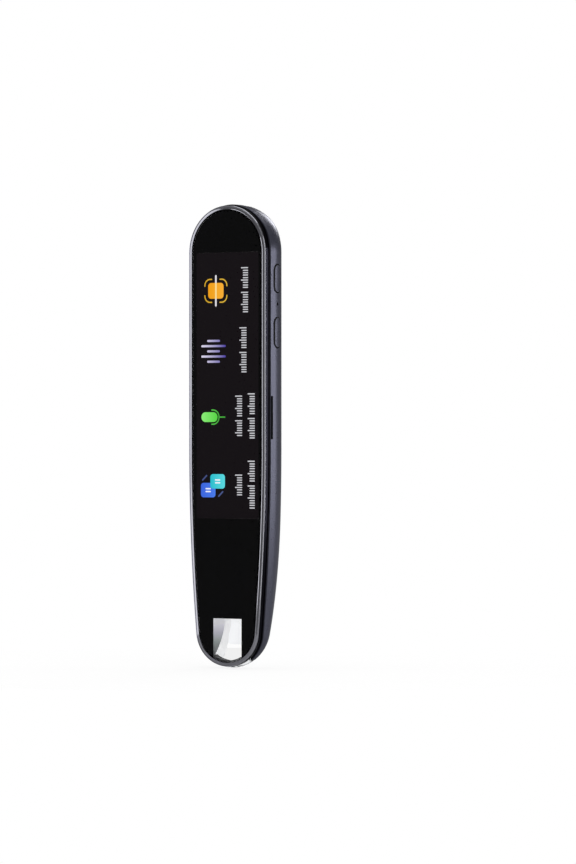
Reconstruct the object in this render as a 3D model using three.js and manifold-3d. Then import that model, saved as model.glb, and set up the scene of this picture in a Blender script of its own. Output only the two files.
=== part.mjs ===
// Scanning pen: a hand-held text scanner with a display in front, a clear nose and a speaker in its back.
// It stands on its nose: +Z runs from nose to tail, the display faces -Y and the buttons are on the +X side.
// Lengths are millimetres. A depth is measured backwards (+Y) from the front surface of the cover glass.
import * as THREE from "three";
import { mergeVertices } from "three/addons/utils/BufferGeometryUtils.js";
import Module from "manifold-3d";

const wasm = await Module();
wasm.setup();

// Overall size and gaps
const LENGTH = 147;
const WIDTH = 30.6;
const THICKNESS = 15.1;
const WALL = 1.3; // moulded wall of the back shell
const FIT = 0.15; // gap between pieces that are fixed to each other
const SLIDE = 0.3; // gap round a piece that moves
const FILM = 0.02; // bonded pieces keep this off each other
const OVERRUN = 1; // how far a cutter passes the face that it cuts
const MERGE = 1e-4; // vertices closer than this are one

// Outline seen from the front
const TAIL_ROUND = 15.3; // height of the half ellipse at the tail
const TIP_ROUND = 11.7; // height of the half ellipse at the nose
const TIP_WIDTH = 25; // width where the nose ellipse begins
const TAPER_LENGTH = 59; // the sides draw in over this length above the nose
const TAIL_STEPS = 9;
const TIP_STEPS = 8;
const SIDE_SHARES = [0.3, 0.52, 0.62, 0.72, 0.8, 0.88, 0.95, 1]; // outline points from tail to nose

// Cross-section and profile of the back shell
const PARTING_DEPTH = 2.3; // where the shell begins, behind the shadow gap
const EDGE_INSET = 0.35; // rounding of the shell's front edge, inwards
const EDGE_DEPTH = 0.6; // and backwards
const CORNER_WIDTH = 10.5; // long back corners
const SIDE_FLAT_DEPTH = 5.1; // the sides are flat down to this depth, where the corners begin
const CORNER_STEPS = 7;
const CORNER_POWER = 2.15; // 2 is an ellipse, more is squarer
const TAIL_FILLET = 8.5; // back edge of the tail
const TIP_DEPTH = 3.1; // depth of the shell at the very tip
const TIP_SWEEP = 48; // length over which the back sweeps forward to the tip

// Front frame and cover glass
const FRAME_INSET = 0.4; // the frame stands in from the shell's side by this
const FRAME_WIDTH = 1.2; // rim that shows round the glass
const FRAME_PROUD_DEPTH = 0.12; // the rim's two edges lie this far behind the glass face
const FRAME_HOLLOW = 0.1; // the rim is this much lower between its edges
const FRAME_EDGE = 0.25; // rounding of the rim's outer edge
const FRAME_WALL_DEPTH = 1.9; // the frame's outer wall ends here, above the shadow gap
const SKIRT_DEPTH = 3.6; // the skirt inside the shell ends here
const SKIRT_WALL = 0.9;
const LEDGE_DEPTH = 1; // the glass is bonded on a ledge at this depth
const GLASS_THICKNESS = 0.8;
const GLASS_EDGE_WIDTH = 0.5; // the glass edge is ground round over this width
const GLASS_EDGE_DEPTH = 0.45;
const CROSSBAR_HEIGHT = 6; // two bars across the frame take the case screws
const CROSSBAR_THICKNESS = 1.2;
const LOWER_BAR_Z = 41;
const UPPER_BAR_DROP = 9.8; // below the tail

// Case screws and their bosses
const SCREW_INSET = 6; // from the pen's side
const SCREW_HEAD_RADIUS = 1.3;
const SCREW_HEAD_HEIGHT = 0.7;
const SCREW_RADIUS = 0.7;
const SCREW_LENGTH = 5;
const BOSS_RADIUS = 1.9;
const SLOT_WIDTH = 0.35; // driver slot
const SLOT_DEPTH = 0.35;

// Speaker plate in the back
const PLATE_WIDTH = 17.2;
const PLATE_LENGTH = 33.8;
const PLATE_DROP = 27.3; // the plate's middle lies this far below the tail
const PLATE_THICKNESS = 1;
const PLATE_SINK = 0.85; // the plate's face lies this far below the back
const PLATE_RIM_WIDTH = 0.45;
const PLATE_RIM_HEIGHT = 0.15;
const RECESS_FLARE = 1.6; // the recess opens out by this at the back face
const SEAT_WALL = 1.2; // shell wall under the plate
const SLIT_LENGTH = 6.4;
const SLIT_WIDTH = 0.88;
const SLIT_PITCH = 2;
const SLIT_RISE = 7.2; // the pattern's centre lies this far above the plate's middle
const SLIT_GROUP_OFFSET = 3.25; // from the pattern's centre to the middle of a group
const SLIT_GROUP_SHIFT = 1.75; // each group is moved along its slits by this
const SLIT_STAGGER = 0.95; // each slit starts this much further along than its neighbour
const SLITS_IN_GROUP = 3;
const SLIT_STEPS = 3; // straight pieces in each quarter of a slit's end
const SLIT_GROUPS = 3;

// Side buttons, microphone hole and card slot on +X
const BUTTON_DEPTH = 6.4; // depth of the buttons' and the microphone's centre line
const BUTTON_WIDTH = 3.5;
const POWER_BUTTON_DROP = 23.7; // below the tail
const POWER_BUTTON_LENGTH = 8.8;
const FUNCTION_BUTTON_DROP = 40.8; // below the tail
const FUNCTION_BUTTON_LENGTH = 9.5;
const BUTTON_PROUD = 0.2; // the caps stand out of the side by this
const BUTTON_TRAVEL = 0.3;
const BUTTON_GAP = 0.25; // gap round a cap in its hole
const FLANGE_MARGIN = 0.7; // the flange behind the wall is wider than the cap by this all round
const FLANGE_THICKNESS = 0.6;
const FLANGE_GAP = 0.3; // between the flange and the curved wall
const MIC_DROP = 31.8; // below the tail
const MIC_HOLE_RADIUS = 0.5;
const CARD_SLOT_DROP = 10.2; // below the display's middle
const CARD_SLOT_LENGTH = 13.7;
const CARD_SLOT_DEPTH = 3.3;
const CARD_SLOT_WIDTH = 1.1;
const CARD_THICKNESS = 0.7;

// Clear scan hood in the nose
const HOOD_WIDTH = 14.8;
const HOOD_TOP_Z = 16.9;
const HOOD_CORNER = 1.6;
const HOOD_WALL = 1.2;
const HOOD_FRONT_DEPTH = 3.9; // the side walls begin here, behind the frame's skirt
const HOOD_BAR_DEPTH = 2.6; // the bar under the nose begins here
const HOOD_BAR_THICKNESS = 0.8;
const HOOD_BAR_REACH = 2.4; // how far back the bar goes
const HOOD_BACK_Z = 2.6; // the back wall is trimmed off below this
const HOOD_TRAVEL = 0.4;
const HOOD_TOP_GAP = 0.5;
const STEM_WIDTH = 5; // stem that works the tip switch
const STEM_THICKNESS = 1.2;
const STEM_GAP = 0.12; // between the stem and the hood's back wall
const STEM_SHOULDER = 0.2; // roof in front of the stem; ahead of it the roof is open for the camera's view
const STEM_TOP_Z = 20;

// USB socket in the tail
const USB_WIDTH = 8.94;
const USB_HEIGHT = 3.16;
const USB_LENGTH = 7.4;
const USB_WALL = 0.3;
const USB_RECESS = 0.7; // the socket's mouth lies this far inside the tail
const USB_GAP = 0.2;
const USB_TONGUE_WIDTH = 6.6;
const USB_TONGUE_THICKNESS = 0.7;

// Boards, display and battery
const DISPLAY_SIDE_GAP = 0.65; // between the display and the frame's skirt
const DISPLAY_BOTTOM_Z = 46.3;
const DISPLAY_TOP_DROP = 14.3; // below the tail
const PANEL_THICKNESS = 1;
const TRAY_THICKNESS = 0.9;
const BOARD_INSET = 3;
const BOARD_BOTTOM_Z = 45.4;
const BOARD_TOP_DROP = 4.5; // below the tail
const BOARD_DEPTH = 4.5; // front face of the main board
const BOARD_THICKNESS = 0.8;
const BATTERY_INSET = 6.8; // from the pen's side
const BATTERY_BOTTOM_Z = 52;
const BATTERY_TOP_DROP = 47; // below the tail
const BATTERY_ROOM = 1.96; // between the battery and the shell's back wall
const BATTERY_CORNER = 2;
const PAD_THICKNESS = 0.5;
const LEAD_RADIUS = 0.4;
const LEAD_SPREAD = 0.6; // each battery lead lies this far from the connector's middle

// Pieces on the back of the board: the drop of each is measured from the tail to its middle
const CHIP_GAP = 0.8; // between neighbours
const CAN_INSET = 6.4; // from the pen's side
const CAN_HEIGHT = 9;
const CAN_THICKNESS = 1.4;
const CAN_DROP = 41;
const MEMORY_WIDTH = 9;
const MEMORY_HEIGHT = 8;
const MEMORY_THICKNESS = 0.9;
const MEMORY_OFFSET = 1.5; // towards -X
const MEMORY_DROP = 25;
const CHARGER_WIDTH = 4;
const CHARGER_HEIGHT = 3;
const CHARGER_THICKNESS = 1;
const ANTENNA_WIDTH = 4;
const ANTENNA_HEIGHT = 1.6;
const ANTENNA_THICKNESS = 0.8;
const ANTENNA_DROP = 12;
const CONNECTOR_WIDTH = 2.6;
const CONNECTOR_HEIGHT = 3;
const CONNECTOR_THICKNESS = 1.7;
const CONNECTOR_GAP = 0.6; // between the connector and the switch beside it
const CONNECTOR_DROP = 43.6;

// Speaker driver
const SPEAKER_RISE = 3.3; // the driver's middle lies this far above the plate's middle
const DRIVER_WIDTH = 13;
const DRIVER_LENGTH = 20;
const DRIVER_SHARE = 4 / 7; // of the room for the driver and its magnet
const SPEAKER_ROOM = 0.7; // between the magnet and the chip below it
const DRIVER_WALL = 1;
const GASKET_THICKNESS = 0.5;
const MAGNET_WIDTH = 8;
const MAGNET_LENGTH = 14;
const CONE_THICKNESS = 0.5;
const MESH_THICKNESS = 0.2;

// Camera, lights and tip switch above the nose
const BRACKET_THICKNESS = 1.2;
const BRACKET_INSET = 2; // from the nose's side
const BRACKET_BOTTOM_Z = 22;
const BRACKET_GAP = 1.6; // between the bracket and the main board
const CAMERA_SIZE = 6;
const CAMERA_Z = 27.5;
const CAMERA_ROOM = 0.63; // between the camera and the shell's back wall
const LENS_LENGTH = 2.2;
const FLEX_THICKNESS = 0.2;
const FLEX_WIDTH = 5;
const FLEX_LEG = 5; // straight end of a flex, where it is joined to its board
const LIGHT_BOARD_INSET = 2; // the lights' board is narrower than the bracket by this on each side
const LIGHT_BOARD_MARGIN = 0.3; // board behind the lens hole
const LIGHT_INSET = 1.9; // from the board's end to the middle of a light
const LIGHT_LIFT = 0.73; // from the bracket's face to the lights
const LED_SIZE = 1.6;
const LED_HEIGHT = 0.8;

// Switches: a body on the board and a plunger that the cap or the hood pushes
const SWITCH_WIDTH = 3.4;
const SWITCH_DEPTH = 2.2;
const SWITCH_HEIGHT = 3;
const PLUNGER_RADIUS = 0.6;
const PLUNGER_LENGTH = 1.1;
const PLUNGER_SEAT = 0.4; // the plunger's tail stands this far inside its body
const MIC_SIZE = 3;
const MIC_BOOT_RADIUS = 1.3;
const DISC_SIDES = 16;
const ARC_STEPS = 6;

// Places that follow from the sizes above
const FRONT_Y = -THICKNESS / 2;
const SIDE_X = WIDTH / 2;
const CORNER_DEPTH = THICKNESS - SIDE_FLAT_DEPTH;
const CAVITY_FRONT = PARTING_DEPTH - OVERRUN;
const SCREW_X = SIDE_X - SCREW_INSET;
const UPPER_BAR_Z = LENGTH - UPPER_BAR_DROP;
const PLATE_Z = LENGTH - PLATE_DROP;
const SLIT_CENTRE_Z = PLATE_Z + SLIT_RISE;
const SPEAKER_Z = PLATE_Z + SPEAKER_RISE;
const POWER_BUTTON_Z = LENGTH - POWER_BUTTON_DROP;
const FUNCTION_BUTTON_Z = LENGTH - FUNCTION_BUTTON_DROP;
const MIC_Z = LENGTH - MIC_DROP;
const BOARD_TOP_Z = LENGTH - BOARD_TOP_DROP;
const DISPLAY_TOP_Z = LENGTH - DISPLAY_TOP_DROP;
const CARD_SLOT_Z = (DISPLAY_BOTTOM_Z + DISPLAY_TOP_Z) / 2 - CARD_SLOT_DROP;
const BATTERY_TOP_Z = LENGTH - BATTERY_TOP_DROP;
const BATTERY_WIDTH = WIDTH - 2 * BATTERY_INSET;
const BRACKET_WIDTH = TIP_WIDTH - 2 * BRACKET_INSET;
const LIGHT_BOARD_WIDTH = BRACKET_WIDTH - 2 * LIGHT_BOARD_INSET;
const LIGHT_X = LIGHT_BOARD_WIDTH / 2 - LIGHT_INSET;
const PLATE_DEPTH = THICKNESS - PLATE_SINK;
const RECESS_FLOOR = PLATE_DEPTH - PLATE_THICKNESS - FIT;
const SEAT_DEPTH = RECESS_FLOOR - SEAT_WALL;
const BOARD_BACK = BOARD_DEPTH + BOARD_THICKNESS;
const USB_DEPTH = BOARD_BACK + FIT + USB_HEIGHT / 2;

const X = new THREE.Vector3(1, 0, 0);
const Y = new THREE.Vector3(0, 1, 0);
const Z = new THREE.Vector3(0, 0, 1);
const FACING_BACK = new THREE.Matrix4().makeBasis(X.clone().negate(), Z, Y);
const FACING_SIDE = new THREE.Matrix4().makeBasis(Y, Z, X);

// Solids
function solidOf(geometry) {
  const bare = geometry.index ? geometry : geometry.clone();
  bare.deleteAttribute("normal");
  bare.deleteAttribute("uv");
  const merged = mergeVertices(bare, MERGE);
  const index = merged.index.array;
  const kept = [];
  for (let i = 0; i < index.length; i += 3) {
    const [a, b, c] = index.slice(i, i + 3);
    if (a !== b && b !== c && c !== a) kept.push(a, b, c);
  }
  const vertProperties = new Float32Array(merged.attributes.position.array);
  const made = closedSolid(vertProperties, kept);
  return made.volume() < 0 ? closedSolid(vertProperties, kept.reverse()) : made;
}

function closedSolid(vertProperties, corners) {
  const triVerts = new Uint32Array(corners);
  return new wasm.Manifold(new wasm.Mesh({ numProp: 3, vertProperties, triVerts }));
}

function join(first, ...others) {
  return others.reduce((solid, other) => solid.add(other), first);
}

function cut(first, ...others) {
  return others.reduce((solid, other) => solid.subtract(other), first);
}

function geometryOf(solid) {
  const { numProp, vertProperties, triVerts } = solid.getMesh();
  const geometry = new THREE.BufferGeometry();
  const positions = vertProperties.filter((_, i) => i % numProp < 3);
  geometry.setAttribute("position", new THREE.Float32BufferAttribute(positions, 3));
  geometry.setIndex(new THREE.Uint32BufferAttribute(triVerts, 1));
  geometry.computeVertexNormals();
  return geometry;
}

// A block from its lowest to its highest x, depth and z.
function block([x0, x1], [depth0, depth1], [z0, z1]) {
  const geometry = new THREE.BoxGeometry(x1 - x0, depth1 - depth0, z1 - z0);
  geometry.translate((x0 + x1) / 2, FRONT_Y + (depth0 + depth1) / 2, (z0 + z1) / 2);
  return solidOf(geometry);
}

// A block that is centred on x = 0.
function centred(width, depths, heights) {
  return block([-width / 2, width / 2], depths, heights);
}

function span(middle, size) {
  return [middle - size / 2, middle + size / 2];
}

// A disc or pin whose axis is "x", "y" or "z", centred at x, depth and z.
function pin(radius, length, axis, [x, depth, z], sides = DISC_SIDES) {
  const geometry = new THREE.CylinderGeometry(radius, radius, length, sides);
  if (axis === "x") geometry.rotateZ(Math.PI / 2);
  if (axis === "z") geometry.rotateX(Math.PI / 2);
  geometry.translate(x, FRONT_Y + depth, z);
  return solidOf(geometry);
}

// An upright outline with half-round ends, its width along the shape's x.
function stadiumShape(width, length) {
  const radius = width / 2;
  const straight = length / 2 - radius;
  const shape = new THREE.Shape();
  shape.moveTo(radius, -straight);
  shape.lineTo(radius, straight);
  shape.absarc(0, straight, radius, 0, Math.PI, false);
  shape.lineTo(-radius, -straight);
  shape.absarc(0, -straight, radius, Math.PI, 2 * Math.PI, false);
  return shape;
}

// An upright rectangle with round corners, from z = bottom to z = top.
function roundedShape(width, bottom, top, radius) {
  const half = width / 2;
  const shape = new THREE.Shape();
  shape.moveTo(half, bottom + radius);
  shape.lineTo(half, top - radius);
  shape.absarc(half - radius, top - radius, radius, 0, Math.PI / 2, false);
  shape.lineTo(-half + radius, top);
  shape.absarc(-half + radius, top - radius, radius, Math.PI / 2, Math.PI, false);
  shape.lineTo(-half, bottom + radius);
  shape.absarc(-half + radius, bottom + radius, radius, Math.PI, 1.5 * Math.PI, false);
  shape.lineTo(half - radius, bottom);
  shape.absarc(half - radius, bottom + radius, radius, 1.5 * Math.PI, 2 * Math.PI, false);
  return shape;
}

function prism(shape, length, curveSegments = ARC_STEPS) {
  return new THREE.ExtrudeGeometry(shape, { depth: length, bevelEnabled: false, curveSegments });
}

// A shape seen from the back, between two depths.
function backPrism(shape, [depth0, depth1], z = 0) {
  const geometry = prism(shape, depth1 - depth0);
  geometry.applyMatrix4(FACING_BACK);
  geometry.translate(0, FRONT_Y + depth0, z);
  return solidOf(geometry);
}

// A shape in the plane of depth and z, between two x.
function sidePrism(shape, [x0, x1], depth = 0, z = 0) {
  const geometry = prism(shape, x1 - x0);
  geometry.applyMatrix4(FACING_SIDE);
  geometry.translate(x0, FRONT_Y + depth, z);
  return solidOf(geometry);
}

// A shape in the plane of x and depth, between two heights.
function upPrism(shape, depth, [z0, z1]) {
  const geometry = prism(shape, z1 - z0);
  geometry.translate(0, FRONT_Y + depth, z0);
  return solidOf(geometry);
}

// A closed skin over rows of points: every row is a closed loop of [x, depth, z].
function skin(rows, { closed = false, capped = false } = {}) {
  const columns = rows[0].length;
  const positions = rows.flat().flatMap(([x, depth, z]) => [x, FRONT_Y + depth, z]);
  const index = [];
  const quad = (a, b, c, d) => index.push(a, b, c, a, c, d);
  const lastRow = closed ? rows.length : rows.length - 1;
  for (let r = 0; r < lastRow; r++) {
    const here = r * columns;
    const next = ((r + 1) % rows.length) * columns;
    for (let c = 0; c < columns; c++) {
      const d = (c + 1) % columns;
      quad(here + c, here + d, next + d, next + c);
    }
  }
  if (capped) {
    const top = (rows.length - 1) * columns;
    for (let c = 0; c < columns / 2; c++) {
      const d = c + 1;
      const [farC, farD] = [(columns - c) % columns, columns - d];
      quad(c, farC, farD, d);
      quad(top + c, top + d, top + farD, top + farC);
    }
  }
  const geometry = new THREE.BufferGeometry();
  geometry.setAttribute("position", new THREE.Float32BufferAttribute(positions, 3));
  geometry.setIndex(index);
  return solidOf(geometry);
}

// Outline of the pen
const TAIL_CENTRE = LENGTH - TAIL_ROUND;
const TAPER_SLOPE = (WIDTH - TIP_WIDTH) / TAPER_LENGTH;
const TIP_ANGLE = Math.atan((TAPER_SLOPE * 2 * TIP_ROUND) / TIP_WIDTH); // where side and nose ellipse meet
const TIP_RADIUS = TIP_WIDTH / 2 / Math.cos(TIP_ANGLE);
const TAPER_START = TIP_ROUND * (1 - Math.sin(TIP_ANGLE));

function halfWidthAt(z) {
  const share = Math.max(0, 1 - (z - TAPER_START) / TAPER_LENGTH);
  return (WIDTH - (WIDTH - TIP_WIDTH) * share ** 2) / 2;
}

// Right half of the outline from the tail's top to the tip, drawn in by inset: a list of [x, z].
function halfOutline(inset) {
  const points = [];
  for (let i = 0; i <= TAIL_STEPS; i++) {
    const a = (Math.PI / 2) * (1 - i / TAIL_STEPS);
    points.push([(WIDTH / 2 - inset) * Math.cos(a), TAIL_CENTRE + (TAIL_ROUND - inset) * Math.sin(a)]);
  }
  for (const share of SIDE_SHARES) {
    const z = TAIL_CENTRE + (TAPER_START - TAIL_CENTRE) * share;
    points.push([halfWidthAt(z) - inset, z]);
  }
  for (let i = 1; i <= TIP_STEPS; i++) {
    const a = TIP_ANGLE + ((Math.PI / 2 - TIP_ANGLE) * i) / TIP_STEPS;
    points.push([(TIP_RADIUS - inset) * Math.cos(a), TIP_ROUND - (TIP_ROUND - inset) * Math.sin(a)]);
  }
  points[0][0] = 0;
  points[points.length - 1][0] = 0;
  return points;
}

// The whole outline at one depth, as a closed loop.
function outlineRow([inset, depth]) {
  const right = halfOutline(inset).map(([x, z]) => [x, depth, z]);
  const left = right.slice(1, -1).reverse();
  return [...right, ...left.map(([x, , z]) => [-x, depth, z])];
}

// A plate that follows the outline: its profile is a list of [inset, depth] from front to back.
function outlinePlate(profile) {
  return skin(profile.map(outlineRow), { capped: true });
}

// A ring that follows the outline: its profile is a closed list of [inset, depth].
function outlineRing(profile) {
  return skin(profile.map(outlineRow), { closed: true });
}

// Depth of the back at a height, for the outside or for an inner wall at inset.
function backDepthAt(z, inset) {
  if (z < TIP_SWEEP) {
    const share = Math.min(1, (TIP_SWEEP - z) / (TIP_SWEEP - inset));
    return TIP_DEPTH + (THICKNESS - TIP_DEPTH - inset) * Math.sqrt(1 - share ** 2);
  }
  const past = z - (LENGTH - TAIL_FILLET);
  const radius = TAIL_FILLET - inset;
  const drop = past > 0 ? radius - Math.sqrt(Math.max(0, radius ** 2 - past ** 2)) : 0;
  return THICKNESS - inset - drop;
}

// A sine or cosine for a corner that is a little squarer than an ellipse.
function rounder(value) {
  return Math.abs(value) ** (2 / CORNER_POWER);
}

// The back shell's form between a list of front edges, each [inset, depth], and the swept back.
function penForm(inset, edges) {
  const start = edges[edges.length - 1][1];
  const flatShare = 1 - (CORNER_WIDTH - inset) / (WIDTH / 2 - inset);
  const sideShare = Math.max(0, 1 - (CORNER_DEPTH - inset) / (THICKNESS - inset - start));
  const outlines = edges.map(([edgeInset]) => halfOutline(edgeInset));
  const rows = halfOutline(inset).map(([width, z], row) => {
    const right = edges.map(([, depth], i) => [outlines[i][row][0], depth, outlines[i][row][1]]);
    const reach = backDepthAt(z, inset) - start;
    for (let i = 0; i <= CORNER_STEPS; i++) {
      const a = (Math.PI / 2) * (i / CORNER_STEPS);
      const x = width * (flatShare + (1 - flatShare) * rounder(Math.cos(a)));
      right.push([x, start + reach * (sideShare + (1 - sideShare) * rounder(Math.sin(a))), z]);
    }
    return [...right, ...[...right].reverse().map(([x, depth, height]) => [-x, depth, height])];
  });
  return skin(rows);
}

// Half the width between the shell's inner walls at a depth, on the straight part of the pen.
function innerSideAt(depth) {
  const reach = THICKNESS - WALL - CAVITY_FRONT;
  const flatShare = 1 - (CORNER_WIDTH - WALL) / (SIDE_X - WALL);
  const sideShare = 1 - (CORNER_DEPTH - WALL) / reach;
  const rise = Math.max(0, (depth - CAVITY_FRONT) / reach - sideShare) / (1 - sideShare);
  const sine = rise ** (CORNER_POWER / 2);
  return (SIDE_X - WALL) * (flatShare + (1 - flatShare) * rounder(Math.sqrt(1 - sine ** 2)));
}

// Outer pieces
const EDGE_SHARE = 0.3;
const SHELL_EDGES = [
  [EDGE_INSET, PARTING_DEPTH],
  [EDGE_INSET * EDGE_SHARE, PARTING_DEPTH + EDGE_DEPTH * EDGE_SHARE],
  [0, PARTING_DEPTH + EDGE_DEPTH],
];
const GLASS_INSET = FRAME_INSET + FRAME_WIDTH + FIT;
const SKIRT_INSET = WALL + FIT;
const SKIRT_INNER = SKIRT_INSET + SKIRT_WALL;
const BAR_BACK = LEDGE_DEPTH + CROSSBAR_THICKNESS;
const SCREW_PLACES = [
  [SCREW_X, LOWER_BAR_Z],
  [-SCREW_X, LOWER_BAR_Z],
  [SCREW_X, UPPER_BAR_Z],
  [-SCREW_X, UPPER_BAR_Z],
];
const BUTTONS = [
  ["power", POWER_BUTTON_Z, POWER_BUTTON_LENGTH],
  ["function", FUNCTION_BUTTON_Z, FUNCTION_BUTTON_LENGTH],
];
const CUT_X = [SIDE_X - WALL - SKIRT_WALL - FIT - OVERRUN, SIDE_X + OVERRUN];
const outerForm = penForm(0, SHELL_EDGES);

// A stadium outline at one depth as a closed loop, top first.
function stadiumRow(width, length, depth, z) {
  const radius = width / 2;
  const straight = length / 2 - radius;
  const half = [];
  for (const end of [1, -1]) {
    for (let i = 0; i <= ARC_STEPS; i++) {
      const share = end > 0 ? 1 - i / ARC_STEPS : i / ARC_STEPS;
      const a = (Math.PI / 2) * share;
      half.push([radius * Math.cos(a), depth, z + end * (straight + radius * Math.sin(a))]);
    }
  }
  const left = half.slice(1, -1).reverse();
  return [...half, ...left.map(([x, d, height]) => [-x, d, height])];
}

const FLARE_SHARES = [[0, 0], [0.35, 0.1], [0.75, 0.45], [1, 1]]; // of the sink and of the flare

function plateRecess() {
  const row = (depth, offset) => {
    const grown = 2 * offset;
    return stadiumRow(PLATE_WIDTH + grown, PLATE_LENGTH + grown, depth, PLATE_Z);
  };
  const flare = FLARE_SHARES.map(([sink, out]) => {
    return row(PLATE_DEPTH + PLATE_SINK * sink, FIT + RECESS_FLARE * out);
  });
  const rows = [row(RECESS_FLOOR, FIT), ...flare, row(THICKNESS + OVERRUN, FIT + RECESS_FLARE)];
  return skin(rows, { capped: true });
}

function hoodShape(margin, top) {
  return roundedShape(HOOD_WIDTH + 2 * margin, -HOOD_CORNER - OVERRUN - margin, top, HOOD_CORNER + margin);
}

function usbPort(margin, heights) {
  const radius = USB_HEIGHT / 2 + margin;
  return upPrism(roundedShape(USB_WIDTH + 2 * margin, -radius, radius, radius - FILM), USB_DEPTH, heights);
}

function cardSlot() {
  return block(CUT_X, span(CARD_SLOT_DEPTH, CARD_SLOT_WIDTH), span(CARD_SLOT_Z, CARD_SLOT_LENGTH));
}

// A plate with the speaker's own outline, drawn in by margin, between two depths
function speakerOutline(margin, depths) {
  return backPrism(stadiumShape(DRIVER_WIDTH - 2 * margin, DRIVER_LENGTH - 2 * margin), depths, SPEAKER_Z);
}

function backShell() {
  const cavity = penForm(WALL, [[WALL, CAVITY_FRONT]]);
  const seatMargin = 2 * (FIT + WALL);
  const seatShape = stadiumShape(PLATE_WIDTH + seatMargin, PLATE_LENGTH + seatMargin);
  const seat = backPrism(seatShape, [SEAT_DEPTH, PLATE_DEPTH], PLATE_Z).intersect(outerForm);
  const bosses = SCREW_PLACES.map(([x, z]) => {
    const length = THICKNESS - BAR_BACK - FIT;
    return pin(BOSS_RADIUS, length, "y", [x, BAR_BACK + FIT + length / 2, z]).intersect(outerForm);
  });
  const pilots = SCREW_PLACES.map(([x, z]) =>
    pin(SCREW_RADIUS + FIT, SCREW_LENGTH + OVERRUN, "y", [x, BAR_BACK + SCREW_LENGTH / 2, z], ARC_STEPS * 2),
  );
  const buttonHoles = BUTTONS.map(([, z, length]) =>
    sidePrism(stadiumShape(BUTTON_WIDTH + 2 * BUTTON_GAP, length + 2 * BUTTON_GAP), CUT_X, BUTTON_DEPTH, z),
  );
  const micHole = pin(MIC_HOLE_RADIUS, WALL + 2 * OVERRUN, "x", [SIDE_X - WALL / 2, BUTTON_DEPTH, MIC_Z]);
  const noseShape = hoodShape(SLIDE, HOOD_TOP_Z + HOOD_TOP_GAP);
  return cut(
    join(cut(outerForm, cavity), seat, ...bosses),
    plateRecess(),
    speakerOutline(DRIVER_WALL, [SEAT_DEPTH - OVERRUN, PLATE_DEPTH]),
    ...pilots,
    ...buttonHoles,
    micHole,
    cardSlot(),
    usbPort(USB_GAP, [LENGTH - USB_LENGTH, LENGTH + OVERRUN]),
    backPrism(noseShape, [PARTING_DEPTH - OVERRUN, THICKNESS + OVERRUN]),
  );
}

function frontFrame() {
  const inner = FRAME_INSET + FRAME_WIDTH;
  const ring = outlineRing([
    [inner, FRAME_PROUD_DEPTH + FRAME_HOLLOW],
    [inner - FRAME_HOLLOW, FRAME_PROUD_DEPTH],
    [FRAME_INSET + FRAME_WIDTH / 2, FRAME_PROUD_DEPTH + FRAME_HOLLOW],
    [FRAME_INSET + FRAME_EDGE, FRAME_PROUD_DEPTH],
    [FRAME_INSET, FRAME_PROUD_DEPTH + FRAME_EDGE],
    [FRAME_INSET, FRAME_WALL_DEPTH],
    [SKIRT_INSET, FRAME_WALL_DEPTH],
    [SKIRT_INSET, SKIRT_DEPTH],
    [SKIRT_INNER, SKIRT_DEPTH],
    [SKIRT_INNER, LEDGE_DEPTH],
    [inner, LEDGE_DEPTH],
  ]);
  const inside = outlinePlate([
    [SKIRT_INSET + FIT, LEDGE_DEPTH],
    [SKIRT_INSET + FIT, BAR_BACK],
  ]);
  const bars = [LOWER_BAR_Z, UPPER_BAR_Z].map((z) =>
    centred(WIDTH, [LEDGE_DEPTH, BAR_BACK], span(z, CROSSBAR_HEIGHT)).intersect(inside),
  );
  const holes = SCREW_PLACES.flatMap(([x, z]) => [
    pin(SCREW_RADIUS + FIT, CROSSBAR_THICKNESS + 2 * OVERRUN, "y", [x, BAR_BACK, z]),
    pin(SCREW_HEAD_RADIUS + FIT, SCREW_HEAD_HEIGHT + FIT + OVERRUN, "y", [
      x,
      LEDGE_DEPTH + (SCREW_HEAD_HEIGHT + FIT - OVERRUN) / 2,
      z,
    ]),
  ]);
  return cut(join(ring, ...bars), ...holes, cardSlot());
}

function coverGlass() {
  return outlinePlate([
    [GLASS_INSET + GLASS_EDGE_WIDTH, 0],
    [GLASS_INSET + GLASS_EDGE_WIDTH * EDGE_SHARE, GLASS_EDGE_DEPTH * EDGE_SHARE],
    [GLASS_INSET, GLASS_EDGE_DEPTH],
    [GLASS_INSET, GLASS_THICKNESS],
  ]);
}

function glassAdhesive() {
  const [front, back] = [GLASS_THICKNESS + FILM, LEDGE_DEPTH - FILM];
  return outlineRing([[GLASS_INSET, front], [GLASS_INSET, back], [SKIRT_INNER, back], [SKIRT_INNER, front]]);
}

function caseScrew([x, z]) {
  const head = pin(SCREW_HEAD_RADIUS, SCREW_HEAD_HEIGHT, "y", [x, LEDGE_DEPTH + SCREW_HEAD_HEIGHT / 2, z]);
  const shaft = pin(SCREW_RADIUS, SCREW_LENGTH, "y", [x, LEDGE_DEPTH + SCREW_LENGTH / 2, z], ARC_STEPS * 2);
  const slot = block(
    span(x, 2 * SCREW_HEAD_RADIUS + OVERRUN),
    [LEDGE_DEPTH - OVERRUN, LEDGE_DEPTH + SLOT_DEPTH],
    span(z, SLOT_WIDTH),
  );
  return cut(join(head, shaft), slot);
}

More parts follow.
